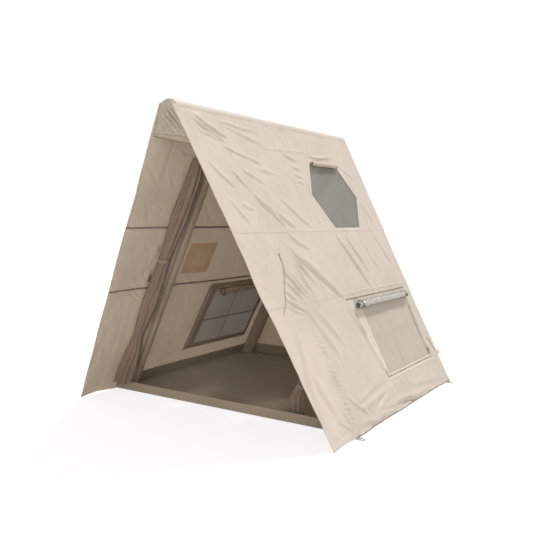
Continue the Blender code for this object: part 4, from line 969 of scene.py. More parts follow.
def backDrape(x, z):
    height = 0.0034 * softNoise(x * 3.1, z * 2.7, 91)
    height = height + 0.0030 * crests(x * 5.2 + z * 1.6, z * 1.1, 92, 3.0)
    height = height + 0.0026 * crests(x * 4.8 - z * 1.9, z * 1.1, 93, 3.0)
    edge = smoothStep(backHalf(z) - np.abs(x), 0.0, 0.12) * smoothStep(z, 0.02, 0.2)
    top = 1 - smoothStep(z, 2.05, 2.25)
    return height * edge * top


def backPoint(x, z, lift=0.0):
    y = backEdge(z) - tent["backInset"] - 0.0018 + backDrape(x, z) * 0.8 - lift
    return stacked(x, y, z)


def backWall():
    rows, columns = 114, 118
    rise = np.sort(np.concatenate((np.linspace(0, 1, rows), np.array(back["crownRows"]))))[:, None]
    across = np.linspace(-1, 1, columns)[None]
    z = 0.004 + rise * (back["top"] - 0.004) + 0 * across
    x = across * backHalf(z)
    middleX, middleZ = (x[1:, 1:] + x[:-1, :-1]) / 2, (z[1:, 1:] + z[:-1, :-1]) / 2
    half = back["sillHalf"] * (back["apex"] - middleZ) / (back["apex"] - back["sill"])
    keep = ~((middleZ > back["sill"] + 0.016) & (np.abs(middleX) < half - 0.016))
    piece = surface(
        "backWallCloth", backPoint(x, z), np.stack((x, z), -1), flip=True, keep=keep,
        wears=("canvas", "backInside"),
    )
    place(piece, ["back_wall"], thickness=back["cloth"], innerFinish=1)


# Cloth panel behind the A-shaped opening, from the sill to the apex.
def backPanel():
    rows, columns = 72, 61
    rise = np.linspace(0, 1, rows)[:, None]
    across = np.linspace(-1, 1, columns)[None]
    low, high = back["sill"] - 0.028, back["apex"] - 0.012
    z = low + rise * (high - low) + 0 * across
    narrowing = np.clip((back["apex"] + 0.03 - z) / (back["apex"] - back["sill"]), 0, 1)
    half = (back["sillHalf"] + 0.010) * narrowing
    x = across * half
    points = backPoint(x, z, 0.0050)
    points[..., 1] -= 0.002 * softNoise(x * 6, z * 5, 95) * (1 - np.abs(across))
    piece = surface(
        "backWindowPanel", points, np.stack((x, z), -1), flip=True,
        wears=("backInside",) * 2,
    )
    place(piece, ["back_window_panel"], thickness=0.0016, innerFinish=1)


# Strip sewn to the outside of the back wall, from (x, z) to (x, z).
def backStrip(name, start, end, width, finish, lift=0.0016):
    run, across, x, z = stripGrid(start, end, width, (-0.5, -0.46, -0.2, 0.2, 0.46, 0.5), 0.014)
    rise = np.array((0.0003, 1.0, 0.8, 0.8, 1.0, 0.0003))[:, None] * lift
    points = backPoint(x, z, -0.0004 - rise - 0.0004 * softNoise(run * 30, across * 60, 97))
    piece = surface(name, points, stacked(run, across), flip=True, wears=(finish,))
    place(piece, thickness=0.0008)


backWall()
backPanel()
for side in (-1, 1):
    foot = (side * (back["sillHalf"] - back["jambInset"]), back["sill"] - 0.004)
    head = (-side * 0.004, back["apex"] - 0.010)
    backStrip("back" + sideWord(side).capitalize() + "Jamb", foot, head, back["strip"], "binding")
half, level = back["sillHalf"] + 0.006, back["sill"] + 0.008
backStrip("backSillStrip", (-half, level), (half, level), back["strip"], "binding", 0.0024)
backStrip("backUpperSeam", (0, back["apex"] + 0.008), (0, 2.250), 0.016, "canvas", 0.0014)
backStrip("backLowerSeam", (0, 0.012), (0, back["sill"] - 0.014), 0.016, "canvas", 0.0014)
print("tent: back wall")


# Floor cloth, turned up at both sides and the back, with a taped sill across the doorway.
floor = {
    "front": -0.68, "back": 1.443, "half": 1.2055, "lip": 0.12, "inset": -0.0042, "cloth": 0.0022,
    "sill": 0.082,
}


def floorCloth():
    lipSteps = np.linspace(0, floor["lip"], 8)[1:]
    flat = np.linspace(-1, 1, 121)
    columns = 108
    y = np.linspace(floor["front"], floor["back"], columns)[None]
    side = np.concatenate((-np.ones(7), flat, np.ones(7)))[:, None]
    up = np.concatenate((lipSteps[::-1], 0 * flat, lipSteps))[:, None]
    onLip = up > 0
    inset = floor["inset"]
    lipX = tent["halfBase"] - up * tent["wallSin"] + inset * tent["wallCos"]
    lipFollow = np.where(side > 0, drape(1, y, up), drape(-1, y, up)) * smoothStep(up, 0.0, 0.03)
    x = np.where(onLip, side * (lipX + lipFollow), side * floor["half"] + 0 * y)
    z = np.where(onLip, up * tent["wallCos"] + inset * tent["wallSin"] + 0.0022, 0.0030 + 0 * y)
    ripples = 0.0035 * crests(x * 4.5, y * 3.5, 101, 3.0)
    ripples = ripples + 0.0030 * crests(x * 2.2 + y * 5.0, y * 1.2, 102, 3.0)
    border = smoothStep(floor["half"] - np.abs(x), 0.02, 0.15) * smoothStep(y, floor["front"], -0.52)
    border = border * (1 - smoothStep(y, 1.28, 1.41))
    z = np.where(onLip, z, z + ripples * border)
    points = stacked(x, y + 0 * x, z)
    across = np.concatenate(([0], np.cumsum(np.abs(np.diff(points[:, 50, 0])) + np.abs(np.diff(up[:, 0])))))
    chart = stacked(y, across[:, None])
    piece = surface("floorCloth", points, chart, wears=("floor",) * 2)
    place(piece, ["groundsheet"], thickness=floor["cloth"])

    # Back lip: the floor's back edge turned up against the back wall.
    rise = np.linspace(0, floor["lip"] * 0.95, 8)[:, None]
    z = rise + 0.0024
    x = np.linspace(-1, 1, 121)[None] * (backHalf(z) - 0.004)
    lip = backPoint(x, z, 0.0062 + 0.0010 * (1 - rise / floor["lip"]))
    lip = surface(
        "floorBackLip", lip, stacked(x, z),
        wears=("floor",) * 2,
    )
    place(lip, thickness=0.0016)


# Sill: a stiff taped strip that stands at the front of the floor, bowed a little forwards and back.
def doorSill():
    rows, columns = 9, 150
    rise = np.linspace(0, 1, rows)[:, None]
    across = np.linspace(-1, 1, columns)[None]
    z = 0.0036 + rise * (floor["sill"] - 0.0036) + 0.0035 * softNoise(across * 7, rise * 0, 111) * rise
    reach = tent["halfBase"] - (z + 0.0042) * tent["wallSin"] / tent["wallCos"] - 0.012
    x = across * reach
    y = floor["front"] - 0.0024 + 0.0030 * softNoise(x * 5, z * 8, 112) * rise - 0.002 * rise
    points = stacked(x, y, z)
    piece = surface(
        "doorSill", points, stacked(x, z),
        wears=("sill",) * 2,
    )
    place(piece, ["front_threshold"], thickness=0.0030)


floorCloth()
doorSill()
print("tent: floor")


# Sleeves: cloth tubes round the four leaning legs, sewn to the roof wall, with small puckers along the seam.
legs = {
    "foot": 0.0033, "radius": 0.0598, "depth": 0.0664, "cloth": 0.0016, "zipTurn": 50.0,
    "tops": {"front": 2.436, "back": 2.43},
    # Direction up the leg on the right side, with x turned round for the left one.
    "climbs": {"front": (-0.43782, -0.06724, 0.89654), "back": (-0.43830, -0.04862, 0.89751)},
}


# Axes of a leg: x points inwards, z runs up the leg, y closes the set.
def legAxes(side, where):
    up = np.array(legs["climbs"][where]) * (side, 1, 1)
    inward = np.array((-side * tent["wallCos"], 0, -tent["wallSin"]))
    return inward, np.cross(up, inward), up


def legFoot(side, where):
    depth = legs["depth"]
    x = side * (tent["halfBase"] - depth * tent["wallCos"])
    up = legAxes(side, where)[2]
    foot = np.array((x, tent[where + "Leg"], -depth * tent["wallSin"]))
    return foot + up * ((legs["foot"] - foot[2]) / up[2])


# Point of a leg's frame: along its axis, then out by a radius at a turn from the inward side.
def legPoint(side, where, along, radius, turn):
    inward, sideways, up = legAxes(side, where)
    along, radius, turn = np.broadcast_arrays(along, radius, turn)
    arm = inward * np.cos(turn)[..., None] + sideways * np.sin(turn)[..., None]
    return legFoot(side, where) + up * along[..., None] + arm * radius[..., None]


def legSleeve(side, where):
    rows, columns = 150, 44
    along = np.linspace(0, 1, rows)[:, None]
    turn = turnsAround(columns)
    inner = np.clip(np.cos(turn), 0, 1) ** 0.6
    seed = (1 if side > 0 else 2) + (0 if where == "front" else 5)
    pucker = 0.0034 * crests(along * 38, np.sin(turn) * 1.4, 120 + seed, 3.0) * inner
    pucker = pucker + 0.0022 * softNoise(along * 26, turn * 2 / math.pi, 130 + seed) * inner
    if where == "front":
        zipTurn = side * math.radians(legs["zipTurn"]) % (2 * math.pi)
        pucker = pucker * smoothStep(np.abs(turn - zipTurn), 0.26, 0.46)
    radius = legs["radius"] - 0.0002 + np.clip(pucker, -0.0004, 0.004)
    top = legs["tops"][where]
    inward, sideways, upwards = legAxes(side, where)
    level = -(inward[2] * np.cos(turn) + sideways[2] * np.sin(turn)) * radius / upwards[2]
    height = level + (top - level) * along
    points = legPoint(side, where, height, radius, turn)
    length = 2 * math.pi * legs["radius"]
    chart = stacked(
        np.linspace(0, length, columns + 1)[None], np.linspace(0, top, rows)[:, None]
    )
    name = where + sideWord(side).capitalize() + "Sleeve"
    piece = surface(name, points, chart, closeColumns=True, flip=side < 0, wears=("sleeve",) * 2)
    place(piece, [f"{where}_{sideWord(side)}_sleeve"], thickness=legs["cloth"])


for where in ("front", "back"):
    for side in (-1, 1):
        legSleeve(side, where)
print("tent: sleeves")


# Gathered door curtains: deep folds pressed together, drawn in at the tie and flared to the floor.
curtains = {
    "radius": 0.078, "fold": 0.0073, "folds": 8, "low": 0.092, "top": 2.03, "tie": 1.19, "tieWidth": 0.026,
    "toSleeve": 0.014, "rings": 190, "around": 176, "depth": 0.017, "cloth": 0.0012,
    "tieRings": (-0.012, -0.007, 0.0, 0.007, 0.012),
    "heights": (0.0, 0.08, 0.16, 0.215, 0.27, 0.38, 0.48, 0.5600, 0.5665, 0.5735, 0.65, 0.76, 0.88, 1.0),
    "shares": (1.0, 0.98, 0.72, 0.42, 0.60, 0.78, 0.66, 0.505, 0.49, 0.505, 0.66, 0.84, 0.80, 0.58),
}


# A point x inwards and y along the leg's sideways axis, moved along the leg until it is at its own height.
def levelPoint(side, where, x, y, height):
    inward, sideways, up = legAxes(side, where)
    foot = legFoot(side, where)
    x, y, height = np.broadcast_arrays(x, y, height)
    slid = (height - foot[2] - inward[2] * x - sideways[2] * y) / up[2]
    return foot + inward * x[..., None] + sideways * y[..., None] + up * slid[..., None]


def curtainCentre(side, radius):
    reach = (radius + 0.0076) / math.cos(math.pi / 24) + 0.0023
    return reach - 0.0634, side * (legs["radius"] + curtains["toSleeve"] + reach)


def curtain(side):
    tall = curtains["top"] - curtains["low"]
    tieShare = (curtains["tie"] - curtains["low"]) / tall
    share = np.concatenate((np.linspace(0, 1, curtains["rings"]), tieShare + np.array(curtains["tieRings"])))
    share = np.sort(share)[:, None]
    kernel = np.hanning(13)
    radius = curtains["radius"] * np.interp(share, curtains["heights"], curtains["shares"])
    smooth = np.convolve(np.pad(radius[:, 0], 6, "edge"), kernel / kernel.sum(), "valid")[:, None]
    atTie = np.exp(-((share - tieShare) / 0.020) ** 2)
    radius = np.minimum(smooth * (1 - atTie) + radius * atTie, radius + 0.004)
    turn = turnsAround(curtains["around"])
    seed = 141 if side > 0 else 151
    wander = 0.9 * softNoise(share * 5.0 + 3, turn * 0.8, seed)
    wander = wander + 0.5 * softNoise(share * 13, turn * 1.6, seed + 1)
    wander = wander - 0.9 * softNoise(share * 5.0 + 3, turn * 0, seed)
    folds = np.cos(curtains["folds"] * turn + 2.2 * wander + 1.2 * side * share)
    fine = np.cos(19 * turn + 4.0 * wander)
    depth = curtains["depth"] * (0.40 + 0.75 * smoothStep(radius, 0.036, 0.075)) * (1 - 0.55 * atTie)
    arm = radius + curtains["fold"] - depth * (0.5 - 0.5 * folds) ** 0.8 - 0.16 * depth * (0.5 - 0.5 * fine)
    arm = arm - 0.007 * crests(share * 30, turn * 1.3, seed + 2, 3.0) * np.exp(-((share - 0.215) / 0.05) ** 2)
    arm = arm - 0.004 * crests(share * 22, turn * 1.1, seed + 3, 3.0)
    flare = np.exp(-(share / 0.045) ** 2)
    arm = np.minimum(arm * (1 + 0.03 * flare), radius + curtains["fold"])
    x, y = curtainCentre(side, radius)
    low = curtains["low"] + 0.010 * softNoise(turn * 2.2, turn * 0, seed + 4) * flare
    height = low + share * tall
    points = levelPoint(side, "front", x + arm * np.cos(turn), y + arm * np.sin(turn), height)
    chart = stacked(np.linspace(0, 1.15, curtains["around"] + 1)[None], share * tall)
    name = sideWord(side) + "CurtainCloth"
    piece = surface(name, points, chart, closeColumns=True, flip=side > 0, wears=("curtain",) * 2)
    place(piece, [sideWord(side) + "_door_curtain"], thickness=curtains["cloth"])


# Strap round the gathered cloth, a little wavy along its way.
def curtainTie(side):
    tieRadius = 0.49 * curtains["radius"]
    x, y = curtainCentre(side, tieRadius)
    turn = turnsAround(72)
    inner = tieRadius + curtains["fold"] + 0.0006
    half, cloth = curtains["tieWidth"] / 2, 0.0018
    profile = np.array((
        (inner, -half), (inner, half), (inner + cloth, half - 0.001), (inner + cloth * 1.15, 0),
        (inner + cloth, 0.001 - half),
    ))
    arm = profile[:, 0][:, None] + 0.0006 * softNoise(turn * 3, profile[:, 1][:, None] * 90, 161)
    lift = profile[:, 1][:, None] + 0.0015 * np.sin(turn * 2 + side)
    x, y = x + arm * np.cos(turn), y + arm * np.sin(turn)
    points = levelPoint(side, "front", x, y, curtains["tie"] + lift)
    chart = stacked(
        np.linspace(0, 2 * math.pi * inner, 73)[None],
        np.concatenate((profile[:, 1], profile[:1, 1]))[:, None],
    )
    name = sideWord(side) + "TieStrap"
    piece = surface(
        name, points, chart, closeRows=True, closeColumns=True, flip=side < 0, wears=("web",),
    )
    place(piece, [sideWord(side) + "_curtain_tie"])


# Loose lower end of the right curtain: drawn inwards over the floor, held by a band, flared below it.
tail = {
    "path": ((0.790, -0.606, 0.650), (0.778, -0.606, 0.540), (0.745, -0.608, 0.430), (0.698, -0.612, 0.325),
             (0.655, -0.612, 0.225), (0.634, -0.606, 0.120), (0.628, -0.600, 0.012)),
    "shares": (0.0, 0.20, 0.40, 0.52, 0.58, 0.64, 0.80, 0.94, 1.0),
    "radii": (0.012, 0.034, 0.050, 0.044, 0.032, 0.046, 0.068, 0.076, 0.070),
    "rings": 130, "around": 120, "folds": 7,
}


def curtainTail():
    path = smoothPath(tail["path"], tail["rings"])
    share = np.linspace(0, 1, tail["rings"])[:, None]
    turn = turnsAround(tail["around"])
    radius = np.interp(share, tail["shares"], tail["radii"])
    wander = 0.9 * softNoise(share * 4.0, turn * 0.8, 261) + 0.5 * softNoise(share * 11, turn * 1.6, 262)
    folds = 0.5 - 0.5 * np.cos(tail["folds"] * turn + 2.4 * wander)
    arm = radius * (1 - 0.34 * folds ** 0.8 - 0.06 * crests(share * 26, turn * 1.3, 263, 2.0))
    ahead = np.gradient(path, axis=0)
    ahead /= np.linalg.norm(ahead, axis=1)[:, None]
    sideways = np.cross(ahead, (0.0, 1.0, 0.0))
    sideways /= np.linalg.norm(sideways, axis=1)[:, None]
    depth = np.cross(ahead, sideways)
    points = path[:, None] + arm[..., None] * (
        np.cos(turn)[..., None] * sideways[:, None] + 0.72 * np.sin(turn)[..., None] * depth[:, None]
    )
    points[..., 2] = np.maximum(points[..., 2], 0.0085 + 0.002 * softNoise(turn * 3, share, 264))
    chart = stacked(np.linspace(0, 0.7, tail["around"] + 1)[None], share * 0.85)
    piece = surface("rightCurtainTail", points, chart, closeColumns=True,
                    wears=("curtain",) * 2)
    place(piece, thickness=0.0012)

    middle = int(0.58 * tail["rings"])
    spine = path[middle - 2:middle + 3, None]
    rings = points[middle - 2:middle + 3] - spine
    reach = np.linalg.norm(rings, axis=2)
    rounded = reach.max(1)[:, None, None] * rings / reach[..., None]
    band = surface("rightTailBand", spine + 1.03 * rounded, closeColumns=True, wears=("webSpace",))
    place(band, thickness=0.0016, offset=1)


for side in (-1, 1):
    curtain(side)
    curtainTie(side)
curtainTail()
print("tent: curtains")


# Panels sewn into the walls: nets, frames and borders follow the roof cloth at a set depth.
openings = {
    "skylightBorder": 0.028, "netDepth": -0.0030, "netGrow": 0.018, "frameDepth": -0.0042,
    "frameBorder": 0.042, "strap": 0.018, "crossDrop": 0.36,
    "frameBand": 0.085, "frameTop": 0.072,
    "skylightSpan": ((1.6574, 0.305, 0.815), (1.9774, 0.10, 1.02), (2.2974, 0.305, 0.815)),
    "windowRim": ((0.145, 0.258), (1.262, 0.258), (1.262, 1.004), (-0.035, 1.004)),
    "windowSpan": ((0.3166, 0.192, 1.212), (0.9506, 0.192, 1.212)),
    "stoveSpan": ((1.2366, -0.31, -0.12), (1.4166, -0.31, -0.12)),
}


# A panel between levels (up, front, rear), sampled about one step apart, grown a little at its rim.
def wallPatch(name, side, levels, lift, finish, grow, hides, thickness=0.0008, step=0.016):
    levels = np.array(levels, float)
    low, high = levels[0, 0] - grow, levels[-1, 0] + grow
    ups = np.linspace(low, high, max(3, int((high - low) / step)))
    for level in levels[1:-1, 0]:
        ups = np.sort(np.append(ups, level))
    front = np.interp(ups, levels[:, 0], levels[:, 1])[:, None] - grow
    rear = np.interp(ups, levels[:, 0], levels[:, 2])[:, None] + grow
    across = np.linspace(0, 1, max(3, int((rear - front).max() / step)))[None]
    y = front + (rear - front) * across
    up = ups[:, None] + 0 * across
    points = wallSurface(side, y, up, lift)
    piece = surface(name, points, np.stack((y, up), -1), flip=side < 0, wears=(finish,) * 2)
    place(piece, hides, thickness=thickness, innerFinish=1)


# Flat border sewn along an outline: its rims are pressed down and its middle stands a little proud.
def sewnBorder(name, side, corners, inner, outer, finish, outside=True, proud=0.0012):
    offsets = np.array((
        inner, inner + 0.0012, inner + 0.004, (inner + outer) / 2, outer - 0.004, outer - 0.0012, outer,
    ))
    lifts = np.array((0.0002, proud, proud * 0.86, proud, proud * 0.86, proud, 0.0002))
    rings = np.stack([outlinePoints(corners, offset) for offset in offsets])
    length = runAlong(np.concatenate((rings[3], rings[3][:1])))
    lifts = lifts[:, None]
    rise = lifts + 0.0006 * softNoise(rings[..., 0] * 40, rings[..., 1] * 40, 171) * (lifts > 0.0005)
    rise = rise if outside else -(roof["cloth"] + 0.0012 + rise)
    points = wallSurface(side, rings[..., 0], rings[..., 1], rise)
    chart = stacked(length[None], offsets[:, None])
    piece = surface(name, points, chart, closeColumns=True, flip=(side > 0) != outside, wears=(finish,))
    place(piece, thickness=0.0008)


# Points along a closed outline, with a count for each of its sides.
def alongSides(corners, counts):
    corners = np.array(corners)
    ends = np.roll(corners, -1, 0)
    return np.concatenate([
        a + (b - a) * (np.arange(count) / count)[:, None] for a, b, count in zip(corners, ends, counts)
    ])


# Border of a side window: its front edge leans forward, so it is widest at the top under the roll's end.
def windowBorder(side):
    counts = (110, 74, 110, 74)
    rim = openings["windowRim"] if side > 0 else openings["windowRim"][:3] + ((0.145, 1.004),)
    outer, inner = alongSides(rim, counts), alongSides(roof["window"], counts)
    shares = np.array((0, 0.02, 0.10, 0.38, 0.44, 0.50, 0.90, 0.98, 1.0))[:, None]
    lifts = np.array((0.0002, 0.0014, 0.0011, 0.0016, 0.0003, 0.0016, 0.0011, 0.0014, 0.0002))[:, None]
    rings = inner + (outer - inner) * shares[..., None]
    rise = lifts + 0.0006 * softNoise(rings[..., 0] * 40, rings[..., 1] * 40, 172) * (lifts > 0.0005)
    length = runAlong(np.concatenate((outer, outer[:1])))
    chart = stacked(length[None], shares * 0.05)
    word = sideWord(side)
    points = wallSurface(side, rings[..., 0], rings[..., 1], rise)
    name = word + "WindowBorder"
    piece = surface(name, points, chart, closeColumns=True, flip=side < 0, wears=("binding",))
    place(piece, thickness=0.0008)
    front = (rim[3][0], 1.010)
    sewnStrip(word + "WindowHood", side, front, (1.262, 1.010), 0.012, "seamInside", proud=0.0030)
    sewnStrip(word + "BackSlit", side, (1.325, 0.470), (1.425, 0.285), 0.009, "seamInside", proud=0.0022)
    sewnStrip(word + "BackTab", side, (1.400, 0.300), (1.500, 0.306), 0.046, "binding", proud=0.0030)


for side in (-1, 1):
    word = sideWord(side)
    depth = openings["netDepth"]
    wallPatch(word + "SkylightNet", side, openings["skylightSpan"], depth, "net",
              openings["netGrow"], [word + "_skylight_net"])
    wallPatch(word + "WindowNet", side, openings["windowSpan"], depth, "windowNet",
              openings["netGrow"], [word + "_window_net"])
    for seam, start, end in (
        ("NetSeamAcross", (0.200, 0.655), (1.205, 0.640)), ("NetSeamUp", (0.600, 0.325), (0.655, 0.900)),
    ):
        sewnStrip(word + seam, side, start, end, 0.011, "windowNet", proud=-0.0016, slot="net")
    outline = roof["skylight"], -0.001, openings["skylightBorder"]
    sewnBorder(word + "SkylightBorder", side, *outline, "binding")
    sewnBorder(word + "SkylightInsideBorder", side, *outline, "inside", outside=False)
    windowBorder(side)
print("tent: nets and borders")


# Window frame on the inside: a border and two straps, one piece of cloth cut through at its four panes.
def windowFrame(side):
    (front, low), (rear, high) = roof["window"][0], roof["window"][2]
    middle, cross = (front + rear) / 2, high - openings["crossDrop"]
    half, border = openings["strap"] / 2, openings["frameBorder"]
    inner = front + (openings["frameBand"] if side < 0 else 0.0)
    ys = np.unique(np.round(np.concatenate((
        np.linspace(front - border * (side > 0) - 0.006, inner, 8), np.linspace(inner, middle - half, 30),
        np.linspace(middle - half, middle + half, 4), np.linspace(middle + half, rear, 34),
        np.linspace(rear, rear + border, 4),
    )), 6))
    ups = np.unique(np.round(np.concatenate((
        np.linspace(low - border, low, 4), np.linspace(low, cross - half, 18),
        np.linspace(cross - half, cross + half, 4), np.linspace(cross + half, high, 24),
        np.linspace(high, high + openings["frameTop"], 6),
    )), 6))
    y, up = np.meshgrid(ys, ups)
    middleY, middleUp = (ys[1:] + ys[:-1])[None] / 2, (ups[1:] + ups[:-1])[:, None] / 2
    pane = (middleY > inner) & (middleY < rear) & (middleUp > low) & (middleUp < high)
    pane = pane & (np.abs(middleY - middle) > half) & (np.abs(middleUp - cross) > half)
    points = wallSurface(side, y, up, openings["frameDepth"] - 0.0004 * softNoise(y * 30, up * 30, 181))
    piece = surface(
        sideWord(side) + "WindowFrame", points, np.stack((y, up), -1), flip=side < 0, keep=~pane,
        wears=("frame",) * 2,
    )
    place(piece, [sideWord(side) + "_window_frame"], thickness=0.0014)


# Rolled cover: a sheet that comes down from its flap and winds inwards on itself, crumpled as it went.
covers = {
    "outer": {"radius": 0.031, "hem": 0.9386, "flap": 0.045, "front": 0.198, "rear": 1.206, "turns": 2.3,
              "pitch": 0.0060, "crumple": 0.0042, "cloth": 0.0007, "face": 0.0016, "outwards": 1},
    "inner": {"radius": 0.031, "hem": 0.9386, "flap": 0.045, "front": 0.198, "rear": 1.206, "turns": 2.3,
              "pitch": 0.0060, "crumple": 0.0026, "cloth": 0.0012, "face": -0.0062, "outwards": -1},
    "skylight": {"radius": 0.020, "hem": 2.285, "flap": 0.030, "front": 0.311, "rear": 0.809, "turns": 1.6,
                 "pitch": 0.0050, "crumple": 0.0020, "cloth": 0.0010, "face": 0.0016, "outwards": 1},
}


# Elastic rings and toggles that hold a window's roll near both ends, as shares of its length.
rollRings = {
    "spots": (("Front", 0.045), ("Rear", 0.935)), "ring": 0.0032, "toggle": 0.0052,
    "swell": (0.7, 1, 1, 1, 1, 0.8, 0.6, 0.6, 0.8, 1, 1, 1, 1, 0.7),
}


def rolledCover(side, kind, finish, hides, seed):
    cover = dict(covers[kind])
    cover["front"] += {("outer", 1): -0.125, ("inner", -1): 0.120}.get((kind, side), 0.0)
    face, outwards = cover["face"], cover["outwards"]
    turn = np.linspace(0, cover["turns"], int(26 * cover["turns"]))
    arm = cover["radius"] - cover["pitch"] * turn
    angle = 2 * math.pi * turn
    flap = np.linspace(cover["flap"], 0, 7)[:-1]
    up = np.concatenate((cover["hem"] + flap, cover["hem"] - arm * np.sin(angle)))[:, None]
    out = np.concatenate((0 * flap, cover["radius"] - arm * np.cos(angle)))[:, None]
    columns = int((cover["rear"] - cover["front"]) / 0.009)
    share = np.linspace(0, 1, columns)[None]
    y = cover["front"] + (cover["rear"] - cover["front"]) * share
    rolled = np.concatenate((np.zeros(6), np.minimum(1, turn / 0.15)))[:, None]
    angles = np.concatenate((np.zeros(6), angle))[:, None]
    shrink = cover["crumple"] * (
        crests(y * 26, angles * 0.9, seed, 2.2) + 0.6 * crests(y * 52 + angles, angles * 1.6, seed + 1, 2.0)
    )
    pinch = 0.16 * np.exp(-((share - 0.07) / 0.02) ** 2) + 0.16 * np.exp(-((share - 0.93) / 0.02) ** 2)
    centreUp, centreOut = cover["hem"], cover["radius"]
    offUp, offOut = up - centreUp, out - centreOut
    distance = np.maximum(np.hypot(offUp, offOut), 1e-6)
    shorter = 1 - (shrink / distance + pinch) * rolled * np.clip(1.2 - angles / 20, 0, 1)
    wideUp = centreUp + offUp * shorter - 0.003 * softNoise(share * 3, 0 * angles, seed + 2) * rolled
    wideOut = centreOut + offOut * shorter
    y = y + 0.004 * softNoise(angles * 1.3, 0 * share + 3, seed + 3) * (share - 0.5) * 2
    base = drape(side, y, np.minimum(up, cover["hem"] + cover["flap"]))
    points = wallPoint(side, y, wideUp, base * 0.85 + face + outwards * wideOut)
    length = np.concatenate(([0], np.cumsum(np.hypot(np.diff(up[:, 0]), np.diff(out[:, 0])))))
    chart = stacked(y, length[:, None])
    name = sideWord(side) + kind.capitalize() + "RolledCover"
    piece = surface(name, points, chart, flip=(side > 0) == (outwards > 0), wears=(finish,))
    place(piece, hides, thickness=cover["cloth"], offset=0)

    for end, share in rollRings["spots"] if kind != "skylight" else ():
        spotY = cover["front"] + (cover["rear"] - cover["front"]) * share
        turns = np.linspace(0, 2 * math.pi, 40)
        arm = cover["radius"] * 0.99 + 0.001
        base = float(drape(side, spotY, cover["hem"])) * 0.85 + face + outwards * cover["radius"]
        ring = wallPoint(side, spotY + 0.002 * np.sin(turns), cover["hem"] + arm * np.cos(turns),
                         base + arm * np.sin(turns))
        ring = pathTube(name + end + "Ring", ring, rollRings["ring"], 10, "dark")
        place(ring)
        top = wallPoint(side, spotY, cover["hem"] - 0.004, base + outwards * arm)
        low = wallPoint(side, spotY + 0.004, cover["hem"] - 0.036, base + outwards * arm * 0.93)
        swell = rollRings["toggle"] * np.array(rollRings["swell"])
        toggle = pathTube(name + end + "Toggle", smoothPath((top, (top + low) / 2, low), 14), swell, 12,
                          "dark")
        place(toggle)


for side in (-1, 1):
    word = sideWord(side)
    windowFrame(side)
    for kind, finish, slot, node, seed in (
        ("outer", "clear", "clear_sheet", "_outer_window_roll", 201),
        ("inner", "cover", "cover_cloth", "_inner_window_roll", 211),
        ("skylight", "cover", "cover_cloth", "_skylight_cover_roll", 221),
    ):
        rolledCover(side, kind, finish, [word + node], seed + side)
print("tent: frames and rolled covers")


# Stove opening in the left wall: stitched border, heat-proof centre, and a rain flap outside that swings up.
stove = {
    "middle": (-0.215, 1.3266), "frame": (0.39, 0.31), "open": (0.19, 0.18), "flap": (0.29, 0.28),
    "depth": -0.0046,
}


def stoveOpening():
    middle = np.array(stove["middle"])
    inner = outlinePoints(roof["stove"], 0, 0.010)
    grown = np.array(stove["frame"]) / np.array(stove["open"])
    shares = np.array((0, 0.02, 0.06, 0.5, 0.94, 0.98, 1.0))[:, None, None]
    rings = middle + (inner - middle) * (1 + (grown - 1) * shares)
    lifts = np.array((0.0002, 0.0010, 0.0014, 0.0011, 0.0014, 0.0010, 0.0002))[:, None]
    lifts = lifts + 0.0005 * softNoise(rings[..., 0] * 30, rings[..., 1] * 30, 231)
    points = wallSurface(-1, rings[..., 0], rings[..., 1], stove["depth"] - lifts)
    along = np.arange(len(inner) + 1) * 0.010
    chart = stacked(along[None], shares[..., 0])
    frameCloth = surface("stoveBorder", points, chart, closeColumns=True, flip=True, wears=("jackBorder",))
    place(frameCloth, ["stove_jack_frame"], thickness=0.0010)
    wallPatch("stoveCentre", -1, openings["stoveSpan"], -0.0029, "jackCentre",
              openings["netGrow"], ["stove_jack_panel"], 0.0012, 0.010)

    half = np.array(stove["flap"]) / 2
    low, high = middle - half, middle + half
    ups = np.linspace(low[1], high[1], 25)[:, None]
    y = np.linspace(low[0], high[0], 26)[None]
    away = smoothStep(high[1] - ups, 0.03, 0.10)
    lift = 0.0034 + (0.0008 + 0.0012 * softNoise(y * 12, ups * 12, 233)) * away
    flap = surface(
        "stoveRainFlap", wallSurface(-1, y, ups, lift), stacked(y, ups), flip=True,
        wears=("canvas",) * 2,
    )
    place(flap, ["stove_jack_flap"], "stove_flap", thickness=0.0016)


stoveOpening()
print("tent: stove opening")


# Zips: a woven tape with small teeth left and right of its middle in turn; each runs along its own line.
zips = {
    "tape": 0.028, "height": 0.0024, "tooth": 0.0030, "toothShare": 0.34, "toothHalf": 0.0021,
    "stagger": 0.0008,
    "door": (0.16, 2.226), "windowGap": 0.024, "lean": (-0.2430, 0.9700),
}


